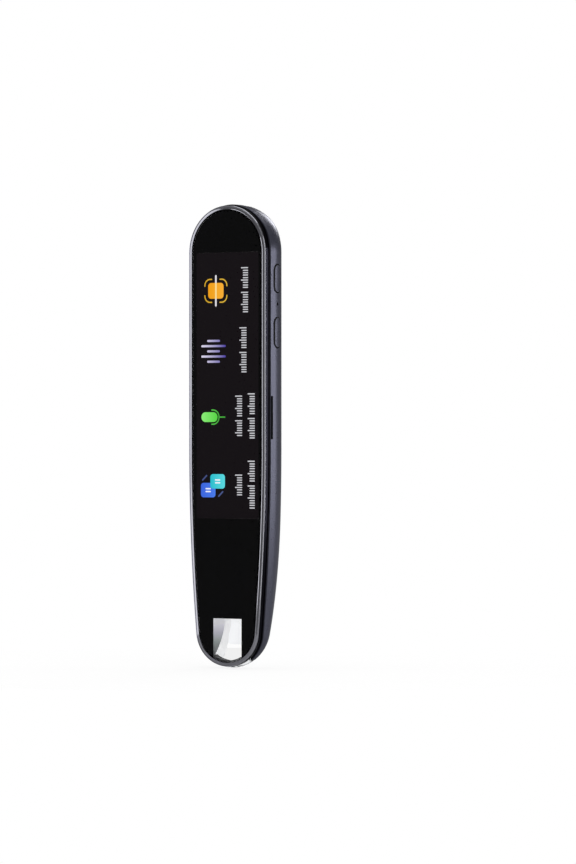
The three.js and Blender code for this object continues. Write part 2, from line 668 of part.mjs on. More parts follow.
// The slits are three groups of three, each group turned a third of a turn from the last.
function plateSlits() {
  const slit = stadiumShape(SLIT_WIDTH, SLIT_LENGTH);
  const slits = [];
  for (let group = 0; group < SLIT_GROUPS; group++) {
    const turn = (2 * Math.PI * group) / SLIT_GROUPS;
    for (let i = 0; i < SLITS_IN_GROUP; i++) {
      const middle = i - (SLITS_IN_GROUP - 1) / 2;
      const geometry = prism(slit, PLATE_THICKNESS + 2 * OVERRUN, SLIT_STEPS);
      geometry.rotateZ(Math.PI / 2);
      const along = -SLIT_GROUP_SHIFT - SLIT_STAGGER * middle;
      geometry.translate(along, -SLIT_GROUP_OFFSET + SLIT_PITCH * middle, 0);
      geometry.rotateZ(turn);
      geometry.applyMatrix4(FACING_BACK);
      geometry.translate(0, FRONT_Y + PLATE_DEPTH - PLATE_THICKNESS - OVERRUN, SLIT_CENTRE_Z);
      slits.push(solidOf(geometry));
    }
  }
  return slits;
}

function speakerPlate() {
  const back = PLATE_DEPTH;
  const body = backPrism(stadiumShape(PLATE_WIDTH, PLATE_LENGTH), [back - PLATE_THICKNESS, back], PLATE_Z);
  const margin = 2 * PLATE_RIM_WIDTH;
  const field = backPrism(
    stadiumShape(PLATE_WIDTH - margin, PLATE_LENGTH - margin),
    [back - PLATE_RIM_HEIGHT, back + OVERRUN],
    PLATE_Z,
  );
  return cut(body, field, ...plateSlits());
}

const HOOD_ROOF_Z = HOOD_TOP_Z - HOOD_WALL;
const STEM_DEPTH = backDepthAt(HOOD_ROOF_Z, HOOD_WALL) - STEM_GAP - STEM_THICKNESS;

function scanHood() {
  const reach = [HOOD_FRONT_DEPTH, THICKNESS + OVERRUN];
  const walls = backPrism(hoodShape(0, HOOD_TOP_Z), reach).intersect(outerForm);
  const hollowForm = penForm(HOOD_WALL, [[HOOD_WALL, CAVITY_FRONT]]);
  const hollow = centred(
    HOOD_WIDTH - 2 * HOOD_WALL,
    [PARTING_DEPTH, THICKNESS + OVERRUN],
    [-OVERRUN, HOOD_ROOF_Z],
  ).intersect(hollowForm);
  const mouth = centred(HOOD_WIDTH - 2 * HOOD_WALL, [PARTING_DEPTH, THICKNESS], [-OVERRUN, HOOD_BACK_Z]);
  const view = centred(
    HOOD_WIDTH - 2 * HOOD_WALL,
    [PARTING_DEPTH, STEM_DEPTH - STEM_SHOULDER],
    [HOOD_BACK_Z, HOOD_TOP_Z + OVERRUN],
  );
  const stem = centred(STEM_WIDTH, [STEM_DEPTH, STEM_DEPTH + STEM_THICKNESS], [HOOD_ROOF_Z, STEM_TOP_Z]);
  return join(cut(walls, hollow, mouth, view), hoodBar(), stem);
}

// The bar closes the nose under the front glass and follows the outline of the tip.
function hoodBar() {
  const depths = [HOOD_BAR_DEPTH, HOOD_BAR_DEPTH + HOOD_BAR_REACH];
  const whole = outlinePlate(depths.map((depth) => [0, depth]));
  const inside = outlinePlate([
    [HOOD_BAR_THICKNESS, depths[0] - OVERRUN],
    [HOOD_BAR_THICKNESS, depths[1] + OVERRUN],
  ]);
  const zone = backPrism(hoodShape(0, HOOD_TOP_Z), [PARTING_DEPTH, THICKNESS]);
  return cut(whole, inside).intersect(zone).intersect(outerForm);
}

// Side buttons and the switches that they work
const FLANGE_FACE_X = innerSideAt(BUTTON_DEPTH + BUTTON_WIDTH / 2 + FLANGE_MARGIN) - FLANGE_GAP;
const FLANGE_X = FLANGE_FACE_X - FLANGE_THICKNESS;

function buttonCap([, z, length]) {
  const capShape = stadiumShape(BUTTON_WIDTH, length);
  const proud = penForm(-BUTTON_PROUD, [[-BUTTON_PROUD, PARTING_DEPTH]]);
  const cap = sidePrism(capShape, [FLANGE_X, SIDE_X + OVERRUN], BUTTON_DEPTH, z).intersect(proud);
  const flangeShape = stadiumShape(BUTTON_WIDTH + 2 * FLANGE_MARGIN, length + 2 * FLANGE_MARGIN);
  return join(cap, sidePrism(flangeShape, [FLANGE_X, FLANGE_FACE_X], BUTTON_DEPTH, z));
}

const PLUNGER_X = FLANGE_X - FIT - PLUNGER_LENGTH / 2;
const SWITCH_FACE_X = PLUNGER_X - PLUNGER_LENGTH / 2 + PLUNGER_SEAT;

function switchPlunger(z) {
  return pin(PLUNGER_RADIUS, PLUNGER_LENGTH, "x", [PLUNGER_X, BUTTON_DEPTH, z]);
}

function sideSwitch(z) {
  const body = block(
    [SWITCH_FACE_X - SWITCH_WIDTH, SWITCH_FACE_X],
    [BOARD_BACK + FILM, BUTTON_DEPTH + SWITCH_DEPTH / 2],
    span(z, SWITCH_HEIGHT),
  );
  return cut(body, pin(PLUNGER_RADIUS + FIT, 2 * PLUNGER_LENGTH, "x", [SWITCH_FACE_X, BUTTON_DEPTH, z]));
}

const TIP_PLUNGER_Z = STEM_TOP_Z + FIT + PLUNGER_LENGTH / 2;
const TIP_SWITCH_Z = STEM_TOP_Z + FIT + PLUNGER_LENGTH - PLUNGER_SEAT;
const TIP_SWITCH_DEPTH = STEM_DEPTH + STEM_THICKNESS / 2;

function tipPlunger() {
  return pin(PLUNGER_RADIUS, PLUNGER_LENGTH, "z", [0, TIP_SWITCH_DEPTH, TIP_PLUNGER_Z]);
}

function tipSwitch() {
  const heights = [TIP_SWITCH_Z, TIP_SWITCH_Z + SWITCH_HEIGHT];
  const body = centred(SWITCH_WIDTH, span(TIP_SWITCH_DEPTH, SWITCH_DEPTH), heights);
  return cut(body, pin(PLUNGER_RADIUS + FIT, 2 * PLUNGER_LENGTH, "z", [0, TIP_SWITCH_DEPTH, TIP_SWITCH_Z]));
}

// Display, boards and battery
const PANEL_DEPTH = GLASS_THICKNESS + 2 * FILM;
const TRAY_DEPTH = PANEL_DEPTH + PANEL_THICKNESS + FILM;
const ON_BOARD = BOARD_BACK + FILM;
const BATTERY_DEPTH = ON_BOARD + PAD_THICKNESS + FILM;
const BATTERY_THICKNESS = THICKNESS - WALL - BATTERY_ROOM - BATTERY_DEPTH;
const DISPLAY_WIDTH = 2 * (SIDE_X - SKIRT_INNER - DISPLAY_SIDE_GAP);

function displayPlate(depth, thickness) {
  return centred(DISPLAY_WIDTH, [depth, depth + thickness], [DISPLAY_BOTTOM_Z, DISPLAY_TOP_Z]);
}

// The flex leaves the display's lower end and folds back onto the board.
function displayFlex() {
  const start = TRAY_DEPTH + TRAY_THICKNESS + FILM;
  const end = BOARD_DEPTH - FILM;
  const [middle, radius] = [(start + end) / 2, (end - start) / 2];
  const fold = DISPLAY_BOTTOM_Z;
  const shape = new THREE.Shape();
  shape.moveTo(start, fold + FLEX_LEG);
  shape.lineTo(start, fold);
  shape.absarc(middle, fold, radius, Math.PI, 2 * Math.PI, false);
  shape.lineTo(end, fold + FLEX_LEG);
  shape.lineTo(end - FLEX_THICKNESS, fold + FLEX_LEG);
  shape.lineTo(end - FLEX_THICKNESS, fold);
  shape.absarc(middle, fold, radius - FLEX_THICKNESS, 2 * Math.PI, Math.PI, true);
  shape.lineTo(start + FLEX_THICKNESS, fold + FLEX_LEG);
  return sidePrism(shape, [-FLEX_WIDTH, FLEX_WIDTH]);
}

function mainBoard() {
  const outline = outlinePlate([[BOARD_INSET, BOARD_DEPTH], [BOARD_INSET, BOARD_BACK]]);
  const body = outline.intersect(centred(WIDTH, [0, THICKNESS], [BOARD_BOTTOM_Z, BOARD_TOP_Z]));
  const bossHoles = bossCuts(SLIDE);
  const notches = BUTTONS.map(([, z, length]) => {
    const heights = span(z, length + 2 * (FLANGE_MARGIN + SLIDE));
    return block([FLANGE_X - BUTTON_TRAVEL - SLIDE, SIDE_X], [0, THICKNESS], heights);
  });
  return cut(body, ...bossHoles, ...notches);
}

// Holes that clear the shell's screw bosses
function bossCuts(gap) {
  return SCREW_PLACES.map(([x, z]) => pin(BOSS_RADIUS + gap, THICKNESS, "y", [x, BOARD_DEPTH, z]));
}

// A chip or can on the back of the board; its drop is measured from the tail to its middle.
function onBoard(widths, height, thickness, drop) {
  return block(widths, [ON_BOARD, ON_BOARD + thickness], span(LENGTH - drop, height));
}

const CONNECTOR_X = SWITCH_FACE_X - SWITCH_WIDTH - CONNECTOR_GAP - CONNECTOR_WIDTH / 2;
const CHIP_LIMIT_X = SCREW_X - BOSS_RADIUS - CHIP_GAP;

function shieldCan() {
  const widths = [CAN_INSET - SIDE_X, CONNECTOR_X - CONNECTOR_WIDTH / 2 - CHIP_GAP];
  return onBoard(widths, CAN_HEIGHT, CAN_THICKNESS, CAN_DROP);
}

function memoryChip() {
  return onBoard(span(-MEMORY_OFFSET, MEMORY_WIDTH), MEMORY_HEIGHT, MEMORY_THICKNESS, MEMORY_DROP);
}

function chargeChip() {
  const widths = [-CHIP_LIMIT_X, CHARGER_WIDTH - CHIP_LIMIT_X];
  return onBoard(widths, CHARGER_HEIGHT, CHARGER_THICKNESS, UPPER_BAR_DROP);
}

function chipAntenna() {
  const widths = [CHIP_LIMIT_X - ANTENNA_WIDTH, CHIP_LIMIT_X];
  return onBoard(widths, ANTENNA_HEIGHT, ANTENNA_THICKNESS, ANTENNA_DROP);
}

function batteryConnector() {
  return onBoard(span(CONNECTOR_X, CONNECTOR_WIDTH), CONNECTOR_HEIGHT, CONNECTOR_THICKNESS, CONNECTOR_DROP);
}

function cardSocket() {
  const mouthEnd = SIDE_X - SKIRT_INNER - SLIDE;
  const body = block(
    [mouthEnd - CARD_SLOT_LENGTH, mouthEnd],
    [TRAY_DEPTH + TRAY_THICKNESS + FIT, BOARD_DEPTH - FILM],
    span(CARD_SLOT_Z, CARD_SLOT_LENGTH + WALL),
  );
  const bay = block(
    [mouthEnd - CARD_SLOT_LENGTH + WALL, mouthEnd + OVERRUN],
    span(CARD_SLOT_DEPTH + FIT, CARD_THICKNESS),
    span(CARD_SLOT_Z, CARD_SLOT_LENGTH - WALL),
  );
  return cut(body, bay);
}

function battery() {
  const half = BATTERY_THICKNESS / 2;
  const shape = roundedShape(BATTERY_WIDTH, -half, half, Math.min(BATTERY_CORNER, half - FIT));
  return upPrism(shape, BATTERY_DEPTH + half, [BATTERY_BOTTOM_Z, BATTERY_TOP_Z]);
}

function batteryPad() {
  const width = BATTERY_WIDTH - 2 * BATTERY_CORNER;
  return centred(width, [ON_BOARD, ON_BOARD + PAD_THICKNESS], [BATTERY_BOTTOM_Z, BATTERY_TOP_Z]);
}

// A lead runs from the battery's top to the lower face of its connector.
function batteryLead(side) {
  const x = CONNECTOR_X + side * LEAD_SPREAD;
  const top = LENGTH - CONNECTOR_DROP - CONNECTOR_HEIGHT / 2 - FILM;
  const start = BATTERY_TOP_Z + FILM;
  const [near, far] = [ON_BOARD + CONNECTOR_THICKNESS / 2, BATTERY_DEPTH + BATTERY_THICKNESS / 2];
  const points = [[far, start], [far, start + LEAD_RADIUS], [near, top - LEAD_RADIUS], [near, top]];
  const places = points.map(([depth, z]) => new THREE.Vector3(x, FRONT_Y + depth, z));
  const path = new THREE.CatmullRomCurve3(places);
  const section = new THREE.Shape();
  section.absarc(0, 0, LEAD_RADIUS, 0, 2 * Math.PI, false);
  const options = { steps: ARC_STEPS, curveSegments: ARC_STEPS / 2, bevelEnabled: false, extrudePath: path };
  return solidOf(new THREE.ExtrudeGeometry(section, options));
}

// Speaker behind the plate, from the dust mesh forwards to the magnet
const MESH_DEPTH = SEAT_DEPTH - FILM - MESH_THICKNESS;
const GASKET_DEPTH = MESH_DEPTH - FILM - GASKET_THICKNESS;
const MAGNET_DEPTH = ON_BOARD + MEMORY_THICKNESS + SPEAKER_ROOM;
const DRIVER_STACK = GASKET_DEPTH - MAGNET_DEPTH - 2 * FILM;
const DRIVER_THICKNESS = DRIVER_STACK * DRIVER_SHARE;
const DRIVER_DEPTH = GASKET_DEPTH - FILM - DRIVER_THICKNESS;
const MAGNET_THICKNESS = DRIVER_STACK - DRIVER_THICKNESS;
const CONE_DEPTH = DRIVER_DEPTH + DRIVER_THICKNESS / 2 + FILM;

function speakerMesh() {
  return speakerOutline(0, [MESH_DEPTH, MESH_DEPTH + MESH_THICKNESS]);
}

function speakerGasket() {
  const hole = speakerOutline(DRIVER_WALL, [GASKET_DEPTH - OVERRUN, MESH_DEPTH + OVERRUN]);
  return cut(speakerOutline(0, [GASKET_DEPTH, GASKET_DEPTH + GASKET_THICKNESS]), hole);
}

function speakerFrame() {
  const pocket = speakerOutline(DRIVER_WALL, [CONE_DEPTH - FILM, GASKET_DEPTH + OVERRUN]);
  return cut(speakerOutline(0, [DRIVER_DEPTH, DRIVER_DEPTH + DRIVER_THICKNESS]), pocket);
}

function speakerCone() {
  return speakerOutline(DRIVER_WALL + FIT, [CONE_DEPTH, CONE_DEPTH + CONE_THICKNESS]);
}

function speakerMagnet() {
  const shape = roundedShape(MAGNET_WIDTH, -MAGNET_LENGTH / 2, MAGNET_LENGTH / 2, DRIVER_WALL);
  return backPrism(shape, [MAGNET_DEPTH, MAGNET_DEPTH + MAGNET_THICKNESS], SPEAKER_Z);
}

// Camera, lights and bracket above the nose
const BRACKET_BACK = BOARD_DEPTH + BRACKET_THICKNESS;
const BRACKET_TOP = BOARD_BOTTOM_Z - BRACKET_GAP;
const CAMERA_BOTTOM = CAMERA_Z - CAMERA_SIZE / 2;
const CAMERA_DEPTH = BRACKET_BACK + FILM;
const CAMERA_THICKNESS = backDepthAt(CAMERA_BOTTOM, WALL) - CAMERA_ROOM - CAMERA_DEPTH;
const LIGHT_BACK = TIP_SWITCH_DEPTH - SWITCH_DEPTH / 2 - FIT;
const LENS_RADIUS = (LIGHT_BACK - LIGHT_BOARD_MARGIN - BRACKET_BACK - FIT) / 2;
const LENS_DEPTH = BRACKET_BACK + FIT + LENS_RADIUS;
const LIGHT_Z = CAMERA_BOTTOM - LENS_LENGTH / 2 - LED_HEIGHT / 2;

function opticsBracket() {
  const body = centred(BRACKET_WIDTH, [BOARD_DEPTH, BRACKET_BACK], [BRACKET_BOTTOM_Z, BRACKET_TOP]);
  return cut(body, ...bossCuts(FIT));
}

function cameraModule() {
  return centred(CAMERA_SIZE, [CAMERA_DEPTH, CAMERA_DEPTH + CAMERA_THICKNESS], span(CAMERA_Z, CAMERA_SIZE));
}

function cameraLens() {
  return pin(LENS_RADIUS, LENS_LENGTH, "z", [0, LENS_DEPTH, CAMERA_BOTTOM - FILM - LENS_LENGTH / 2]);
}

function cameraFlex() {
  const [low, high] = [BRACKET_BACK + FILM, ON_BOARD];
  const [start, bend] = [CAMERA_Z + CAMERA_SIZE / 2 + FIT, BOARD_BOTTOM_Z];
  const inner = [[low, start], [low, BRACKET_TOP + FIT], [high, bend], [high, bend + FLEX_LEG]];
  const outer = inner.map(([depth, z]) => [depth + FLEX_THICKNESS, z]).reverse();
  const shape = new THREE.Shape([...inner, ...outer].map(([depth, z]) => new THREE.Vector2(depth, z)));
  return sidePrism(shape, [-FLEX_WIDTH / 2, FLEX_WIDTH / 2]);
}

function lightBoard() {
  const body = centred(LIGHT_BOARD_WIDTH, [CAMERA_DEPTH, LIGHT_BACK], span(LIGHT_Z, LED_HEIGHT));
  return cut(body, pin(LENS_RADIUS + FIT, LENS_LENGTH + OVERRUN, "z", [0, LENS_DEPTH, LIGHT_Z]));
}

function lightLed(side) {
  const top = LIGHT_Z - LED_HEIGHT / 2 - FILM;
  const front = CAMERA_DEPTH + LIGHT_LIFT;
  return block(span(side * LIGHT_X, LED_SIZE), [front, front + LED_SIZE], [top - LED_HEIGHT, top]);
}

// Microphone and USB socket
const MIC_END = innerSideAt(BUTTON_DEPTH + MIC_BOOT_RADIUS) - FLANGE_GAP;
const BOOT_START = SIDE_X - BOARD_INSET + FILM;

function microphone() {
  const depths = [ON_BOARD, BUTTON_DEPTH + MIC_BOOT_RADIUS];
  return block([BOOT_START - FIT - MIC_SIZE, BOOT_START - FIT], depths, span(MIC_Z, MIC_SIZE));
}

function microphoneBoot() {
  const place = [(BOOT_START + MIC_END) / 2, BUTTON_DEPTH, MIC_Z];
  const hole = pin(MIC_HOLE_RADIUS, MIC_END - BOOT_START + OVERRUN, "x", place);
  return cut(pin(MIC_BOOT_RADIUS, MIC_END - BOOT_START, "x", place), hole);
}

const USB_TOP = LENGTH - USB_RECESS;
const USB_BOTTOM = USB_TOP - USB_LENGTH;

function usbSocket() {
  const inside = usbPort(-USB_WALL, [USB_BOTTOM + 2 * USB_WALL, USB_TOP + OVERRUN]);
  return cut(usbPort(0, [USB_BOTTOM, USB_TOP]), inside);
}

function usbTongue() {
  const bottom = USB_BOTTOM + 2 * USB_WALL + FILM;
  const depths = span(USB_DEPTH, USB_TONGUE_THICKNESS);
  return centred(USB_TONGUE_WIDTH, depths, [bottom, USB_TOP - USB_RECESS]);
}

// Assembly
const FINISHES = {
  shell: { color: 0x3a3d49, roughness: 0.4, metalness: 0.6 },
  frame: { color: 0x2b2d3c, roughness: 0.18, metalness: 0.95 },
  glass: { color: 0x060608, roughness: 0.05, metalness: 0 },
  plate: { color: 0x4a4c5a, roughness: 0.38, metalness: 0.9 },
  clear: { color: 0xdfe3ea, roughness: 0.06, metalness: 0, transparent: true, opacity: 0.45 },
  steel: { color: 0xb4b6ba, roughness: 0.3, metalness: 1 },
  black: { color: 0x15161a, roughness: 0.55, metalness: 0 },
  board: { color: 0x123d2c, roughness: 0.5, metalness: 0.1 },
  display: { color: 0x1a1418, roughness: 0.2, metalness: 0 },
  film: { color: 0xb0762a, roughness: 0.4, metalness: 0.3 },
  cell: { color: 0x9aa0a8, roughness: 0.4, metalness: 0.7 },
  foam: { color: 0x26272b, roughness: 0.9, metalness: 0 },
  lamp: { color: 0xf2f0dc, roughness: 0.4, metalness: 0 },
  red: { color: 0xa51d1d, roughness: 0.5, metalness: 0 },
};

const pen = new THREE.Group();

function place(name, finish, solid) {
  const mesh = new THREE.Mesh(geometryOf(solid), new THREE.MeshStandardMaterial(FINISHES[finish]));
  mesh.name = name;
  pen.add(mesh);
}

place("back_shell", "shell", backShell());
place("front_frame", "frame", frontFrame());
place("cover_glass", "glass", coverGlass());
place("glass_adhesive", "foam", glassAdhesive());
SCREW_PLACES.forEach((spot, i) => place(`case_screw_${i + 1}`, "steel", caseScrew(spot)));
place("speaker_plate", "plate", speakerPlate());
place("speaker_mesh", "foam", speakerMesh());
place("speaker_gasket", "foam", speakerGasket());
place("speaker_frame", "black", speakerFrame());
place("speaker_cone", "black", speakerCone());
place("speaker_magnet", "steel", speakerMagnet());
place("scan_hood", "clear", scanHood());
place("tip_switch_plunger", "black", tipPlunger());
place("tip_switch", "steel", tipSwitch());
for (const button of BUTTONS) {
  const [name, z] = button;
  place(`${name}_button`, "shell", buttonCap(button));
  place(`${name}_switch_plunger`, "black", switchPlunger(z));
  place(`${name}_switch`, "steel", sideSwitch(z));
}
place("display_panel", "display", displayPlate(PANEL_DEPTH, PANEL_THICKNESS));
place("display_tray", "steel", displayPlate(TRAY_DEPTH, TRAY_THICKNESS));
place("display_flex", "film", displayFlex());
place("main_board", "board", mainBoard());
place("shield_can", "steel", shieldCan());
place("memory_chip", "black", memoryChip());
place("charge_chip", "black", chargeChip());
place("chip_antenna", "lamp", chipAntenna());
place("card_socket", "steel", cardSocket());
place("battery", "cell", battery());
place("battery_pad", "foam", batteryPad());
place("battery_connector", "lamp", batteryConnector());
place("battery_lead_red", "red", batteryLead(-1));
place("battery_lead_black", "black", batteryLead(1));
place("optics_bracket", "black", opticsBracket());
place("camera_module", "black", cameraModule());
place("camera_lens", "glass", cameraLens());
place("camera_flex", "film", cameraFlex());
place("light_board", "board", lightBoard());
place("light_led_left", "lamp", lightLed(-1));
place("light_led_right", "lamp", lightLed(1));
place("microphone", "steel", microphone());
place("microphone_boot", "foam", microphoneBoot());
place("usb_socket", "steel", usbSocket());
place("usb_tongue", "black", usbTongue());

export default pen;
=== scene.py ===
"""A scanning pen standing on its nose, with a glass front, a polished rim, a satin shell and a clear nose.

Every length is in metres. A depth is measured backwards (+Y) from the front face of the cover glass.
"""

import math

import bmesh
import bpy
from bpy.props import FloatProperty, FloatVectorProperty, PointerProperty
from mathutils import Matrix, Vector


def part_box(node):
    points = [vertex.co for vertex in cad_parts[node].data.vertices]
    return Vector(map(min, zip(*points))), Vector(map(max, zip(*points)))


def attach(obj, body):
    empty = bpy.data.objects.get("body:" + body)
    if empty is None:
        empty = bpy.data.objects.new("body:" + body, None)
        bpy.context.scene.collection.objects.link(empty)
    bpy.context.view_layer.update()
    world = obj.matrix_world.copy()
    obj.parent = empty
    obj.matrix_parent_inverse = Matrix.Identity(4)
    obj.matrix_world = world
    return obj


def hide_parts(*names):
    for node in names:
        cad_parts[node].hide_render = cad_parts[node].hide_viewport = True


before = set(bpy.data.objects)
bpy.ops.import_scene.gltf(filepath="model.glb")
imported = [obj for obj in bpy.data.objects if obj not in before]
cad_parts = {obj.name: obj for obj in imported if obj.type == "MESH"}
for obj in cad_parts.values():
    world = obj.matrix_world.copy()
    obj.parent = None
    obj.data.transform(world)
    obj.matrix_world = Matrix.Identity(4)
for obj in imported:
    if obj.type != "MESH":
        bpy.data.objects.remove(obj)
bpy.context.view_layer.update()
SHELL_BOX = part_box("back_shell")
GLASS_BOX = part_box("cover_glass")
PLATE_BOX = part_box("speaker_plate")

bl_info = {
    "name": "Scanning Pen",
    "version": (1, 0, 0),
    "blender": (4, 5, 0),
    "location": "3D View > Sidebar > Scanning Pen",
    "description": "Builds a scanning pen with its finishes and a plain studio",
    "category": "Add Mesh",
}

MM = 0.001
LENGTH = SHELL_BOX[1].z
WIDTH = SHELL_BOX[1].x - SHELL_BOX[0].x
THICKNESS = SHELL_BOX[1].y - GLASS_BOX[0].y
FRONT_Y = GLASS_BOX[0].y
SIDE_X = WIDTH / 2

# Outline and section of the pen, as in the solid model
TAIL_ROUND = 15.3 * MM
TIP_ROUND = 11.7 * MM
TIP_WIDTH = 25 * MM
TAPER_LENGTH = 59 * MM
PARTING_DEPTH = 2.3 * MM
CAVITY_DEPTH = 1.3 * MM
EDGE_INSET = 0.35 * MM
EDGE_DEPTH = 0.6 * MM
CORNER_WIDTH = 10.5 * MM
CORNER_DEPTH = 10 * MM
CORNER_POWER = 2.15
TAIL_FILLET = 8.5 * MM
TIP_DEPTH = 3.1 * MM
TIP_SWEEP = 48 * MM
SHELL_WALL = 1.3 * MM
PAINT_DEPTH = 0.77 * MM
FIT = 0.15 * MM
SLIDE = 0.3 * MM
OVERRUN = 1 * MM

PLATE_LENGTH = PLATE_BOX[1].z - PLATE_BOX[0].z
PLATE_WIDTH = PLATE_BOX[1].x - PLATE_BOX[0].x
PLATE_Z = (PLATE_BOX[0].z + PLATE_BOX[1].z) / 2
PLATE_DEPTH = PLATE_BOX[1].y - FRONT_Y
PLATE_THICKNESS = PLATE_BOX[1].y - PLATE_BOX[0].y

BUTTON_DEPTH = 6.4 * MM
BUTTON_WIDTH = 3.5 * MM
BUTTONS = {
    "power_button": (123.3 * MM, 8.8 * MM, "power_key"),
    "function_button": (106.2 * MM, 9.5 * MM, "function_key"),
}
MIC_Z = 115.2 * MM
MIC_RADIUS = 0.5 * MM
CARD_SLOT_Z = 79.3 * MM
CARD_SLOT_LENGTH = 13.7 * MM
CARD_SLOT_DEPTH = 3.3 * MM
CARD_SLOT_WIDTH = 1.1 * MM
CARD_SLOT_CORNER = 0.3 * MM

HOOD_WIDTH = 14.8 * MM
HOOD_TOP = 16.9 * MM
HOOD_TOP_GAP = 0.5 * MM
HOOD_CORNER = 1.6 * MM
HOOD_WALL = 1.2 * MM
HOOD_FRONT_DEPTH = 3.9 * MM
HOOD_BACK_Z = 2.6 * MM

USB_DEPTH = 7.03 * MM
USB_WIDTH = 8.94 * MM
USB_HEIGHT = 3.16 * MM
USB_GAP = 0.2 * MM
USB_TOP = 146.3 * MM
USB_LENGTH = 7.4 * MM
USB_WALL = 0.3 * MM

FLANGE_MARGIN = 0.7 * MM
FLANGE_THICKNESS = 0.6 * MM
FLANGE_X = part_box("power_button")[0].x
FLANGE_FACE_X = FLANGE_X + FLANGE_THICKNESS
SLIT_Z = 126.9 * MM
CORNER_START = 5.1 * MM


# --- outline and section

TAIL_CENTRE = LENGTH - TAIL_ROUND
TAPER_SLOPE = (WIDTH - TIP_WIDTH) / TAPER_LENGTH
TIP_ANGLE = math.atan(TAPER_SLOPE * 2 * TIP_ROUND / TIP_WIDTH)
TIP_RADIUS = TIP_WIDTH / 2 / math.cos(TIP_ANGLE)
TAPER_START = TIP_ROUND * (1 - math.sin(TIP_ANGLE))


def half_width(z):
    """Half the pen's width on its sides."""
    share = max(0, 1 - (z - TAPER_START) / TAPER_LENGTH)
    return (WIDTH - (WIDTH - TIP_WIDTH) * share**2) / 2


def outline_point(row, rows, inset):
    """Point (x, z) of the right half of the outline, from the tail's top at row 0 to the tip at the last row."""
    tail_rows = rows * 3 // 16
    tip_rows = rows * 3 // 16
    side_rows = rows - tail_rows - tip_rows
    if row <= tail_rows:
        turn = math.pi / 2 * (1 - row / tail_rows)
        across = (SIDE_X - inset) * math.cos(turn)
        return (across if row else 0), TAIL_CENTRE + (TAIL_ROUND - inset) * math.sin(turn)
    if row <= tail_rows + side_rows:
        z = TAIL_CENTRE + (TAPER_START - TAIL_CENTRE) * (row - tail_rows) / side_rows
        return half_width(z) - inset, z
    share = (row - tail_rows - side_rows) / tip_rows
    turn = TIP_ANGLE + (math.pi / 2 - TIP_ANGLE) * share
    across = (TIP_RADIUS - inset) * math.cos(turn)
    return (across if row < rows else 0), TIP_ROUND - (TIP_ROUND - inset) * math.sin(turn)


def back_depth(z, inset):
    """Depth of the pen's back at a height."""
    if z < TIP_SWEEP:
        share = min(1, (TIP_SWEEP - z) / (TIP_SWEEP - inset))
        return TIP_DEPTH + (THICKNESS - TIP_DEPTH - inset) * math.sqrt(1 - share**2)
    past = z - (LENGTH - TAIL_FILLET)
    radius = TAIL_FILLET - inset
    drop = radius - math.sqrt(max(0, radius**2 - past**2)) if past > 0 else 0
    return THICKNESS - inset - drop


def side_x(depth, z, proud):
    """How far out the pen's side lies at a depth and height."""
    share = min(1, max(0, (depth - CORNER_START) / CORNER_DEPTH))
    drop = CORNER_WIDTH * (1 - (1 - share**CORNER_POWER) ** (1 / CORNER_POWER))
    return half_width(z) + proud - drop


def rounder(value):
    """A sine or cosine for a corner that is a little squarer than an ellipse."""
    return abs(value) ** (2 / CORNER_POWER)


def section_point(share, width, z, inset, start):
    """Point (x, depth) of the section, share 0 at the right side's front and 1 at the middle of the back."""
    flat = 1 - (CORNER_WIDTH - inset) / (SIDE_X - inset)
    side = max(0, 1 - (CORNER_DEPTH - inset) / (THICKNESS - inset - start))
    reach = back_depth(z, inset) - start
    side_end, corner_end = 0.16, 0.84
    if share < side_end:
        return width, start + reach * side * share / side_end
    if share > corner_end:
        return width * flat * (1 - share) / (1 - corner_end), start + reach
    turn = math.pi / 2 * (share - side_end) / (corner_end - side_end)
    x = width * (flat + (1 - flat) * rounder(math.cos(turn)))
    return x, start + reach * (side + (1 - side) * rounder(math.sin(turn)))


def stadium_distance(x, z, width, length):
    """How far a point lies outside an upright outline with half-round ends; inside it is negative."""
    radius = width / 2
    straight = length / 2 - radius
    beyond = max(0, abs(z) - straight)
    return math.hypot(x, beyond) - radius


def smooth_step(share):
    """A share from 0 to 1 that starts and ends gently."""
    share = min(1, max(0, share))
    return share * share * (3 - 2 * share)


def quarter_turns(steps):
    """Angles from 0 to a quarter turn in even steps."""
    return [math.pi / 2 * step / steps for step in range(steps + 1)]


STEM_TOP = 20 * MM
STEM_DEPTH = back_depth(HOOD_TOP - HOOD_WALL, HOOD_WALL) - 1.32 * MM
VIEW_DEPTH = STEM_DEPTH - 0.2 * MM


# --- mesh making

WELD = 0.002 * MM
OUTLINE_ROWS = 200
SHARP_ANGLE = math.radians(32)
FACING_SIDE = Matrix.Rotation(math.pi / 2, 3, "Z")
FACING_UP = Matrix.Rotation(math.pi / 2, 3, "X")


def at(x, depth, z):
    """A point by its depth behind the front face."""
    return Vector((x, FRONT_Y + depth, z))


def linked(name, data):
    """A new object of the scene that shows the data."""
    obj = bpy.data.objects.new(name, data)
    bpy.context.scene.collection.objects.link(obj)
    return obj


def mesh_of(name, bm):
    """A new mesh that takes over the shape."""
    mesh = bpy.data.meshes.new(name)
    bm.to_mesh(mesh)
    bm.free()
    return mesh


def woven_grid(columns, rows, place):
    """A grid whose point (column, row) is put where place says; points that meet are joined."""
    bm = bmesh.new()
    made = bmesh.ops.create_grid(bm, x_segments=columns, y_segments=rows, size=0.5)
    for vert in made["verts"]:
        vert.co = place(round((vert.co.x + 0.5) * columns), round((vert.co.y + 0.5) * rows))
    bmesh.ops.remove_doubles(bm, verts=bm.verts, dist=WELD)
    bmesh.ops.recalc_face_normals(bm, faces=bm.faces)
    return bm


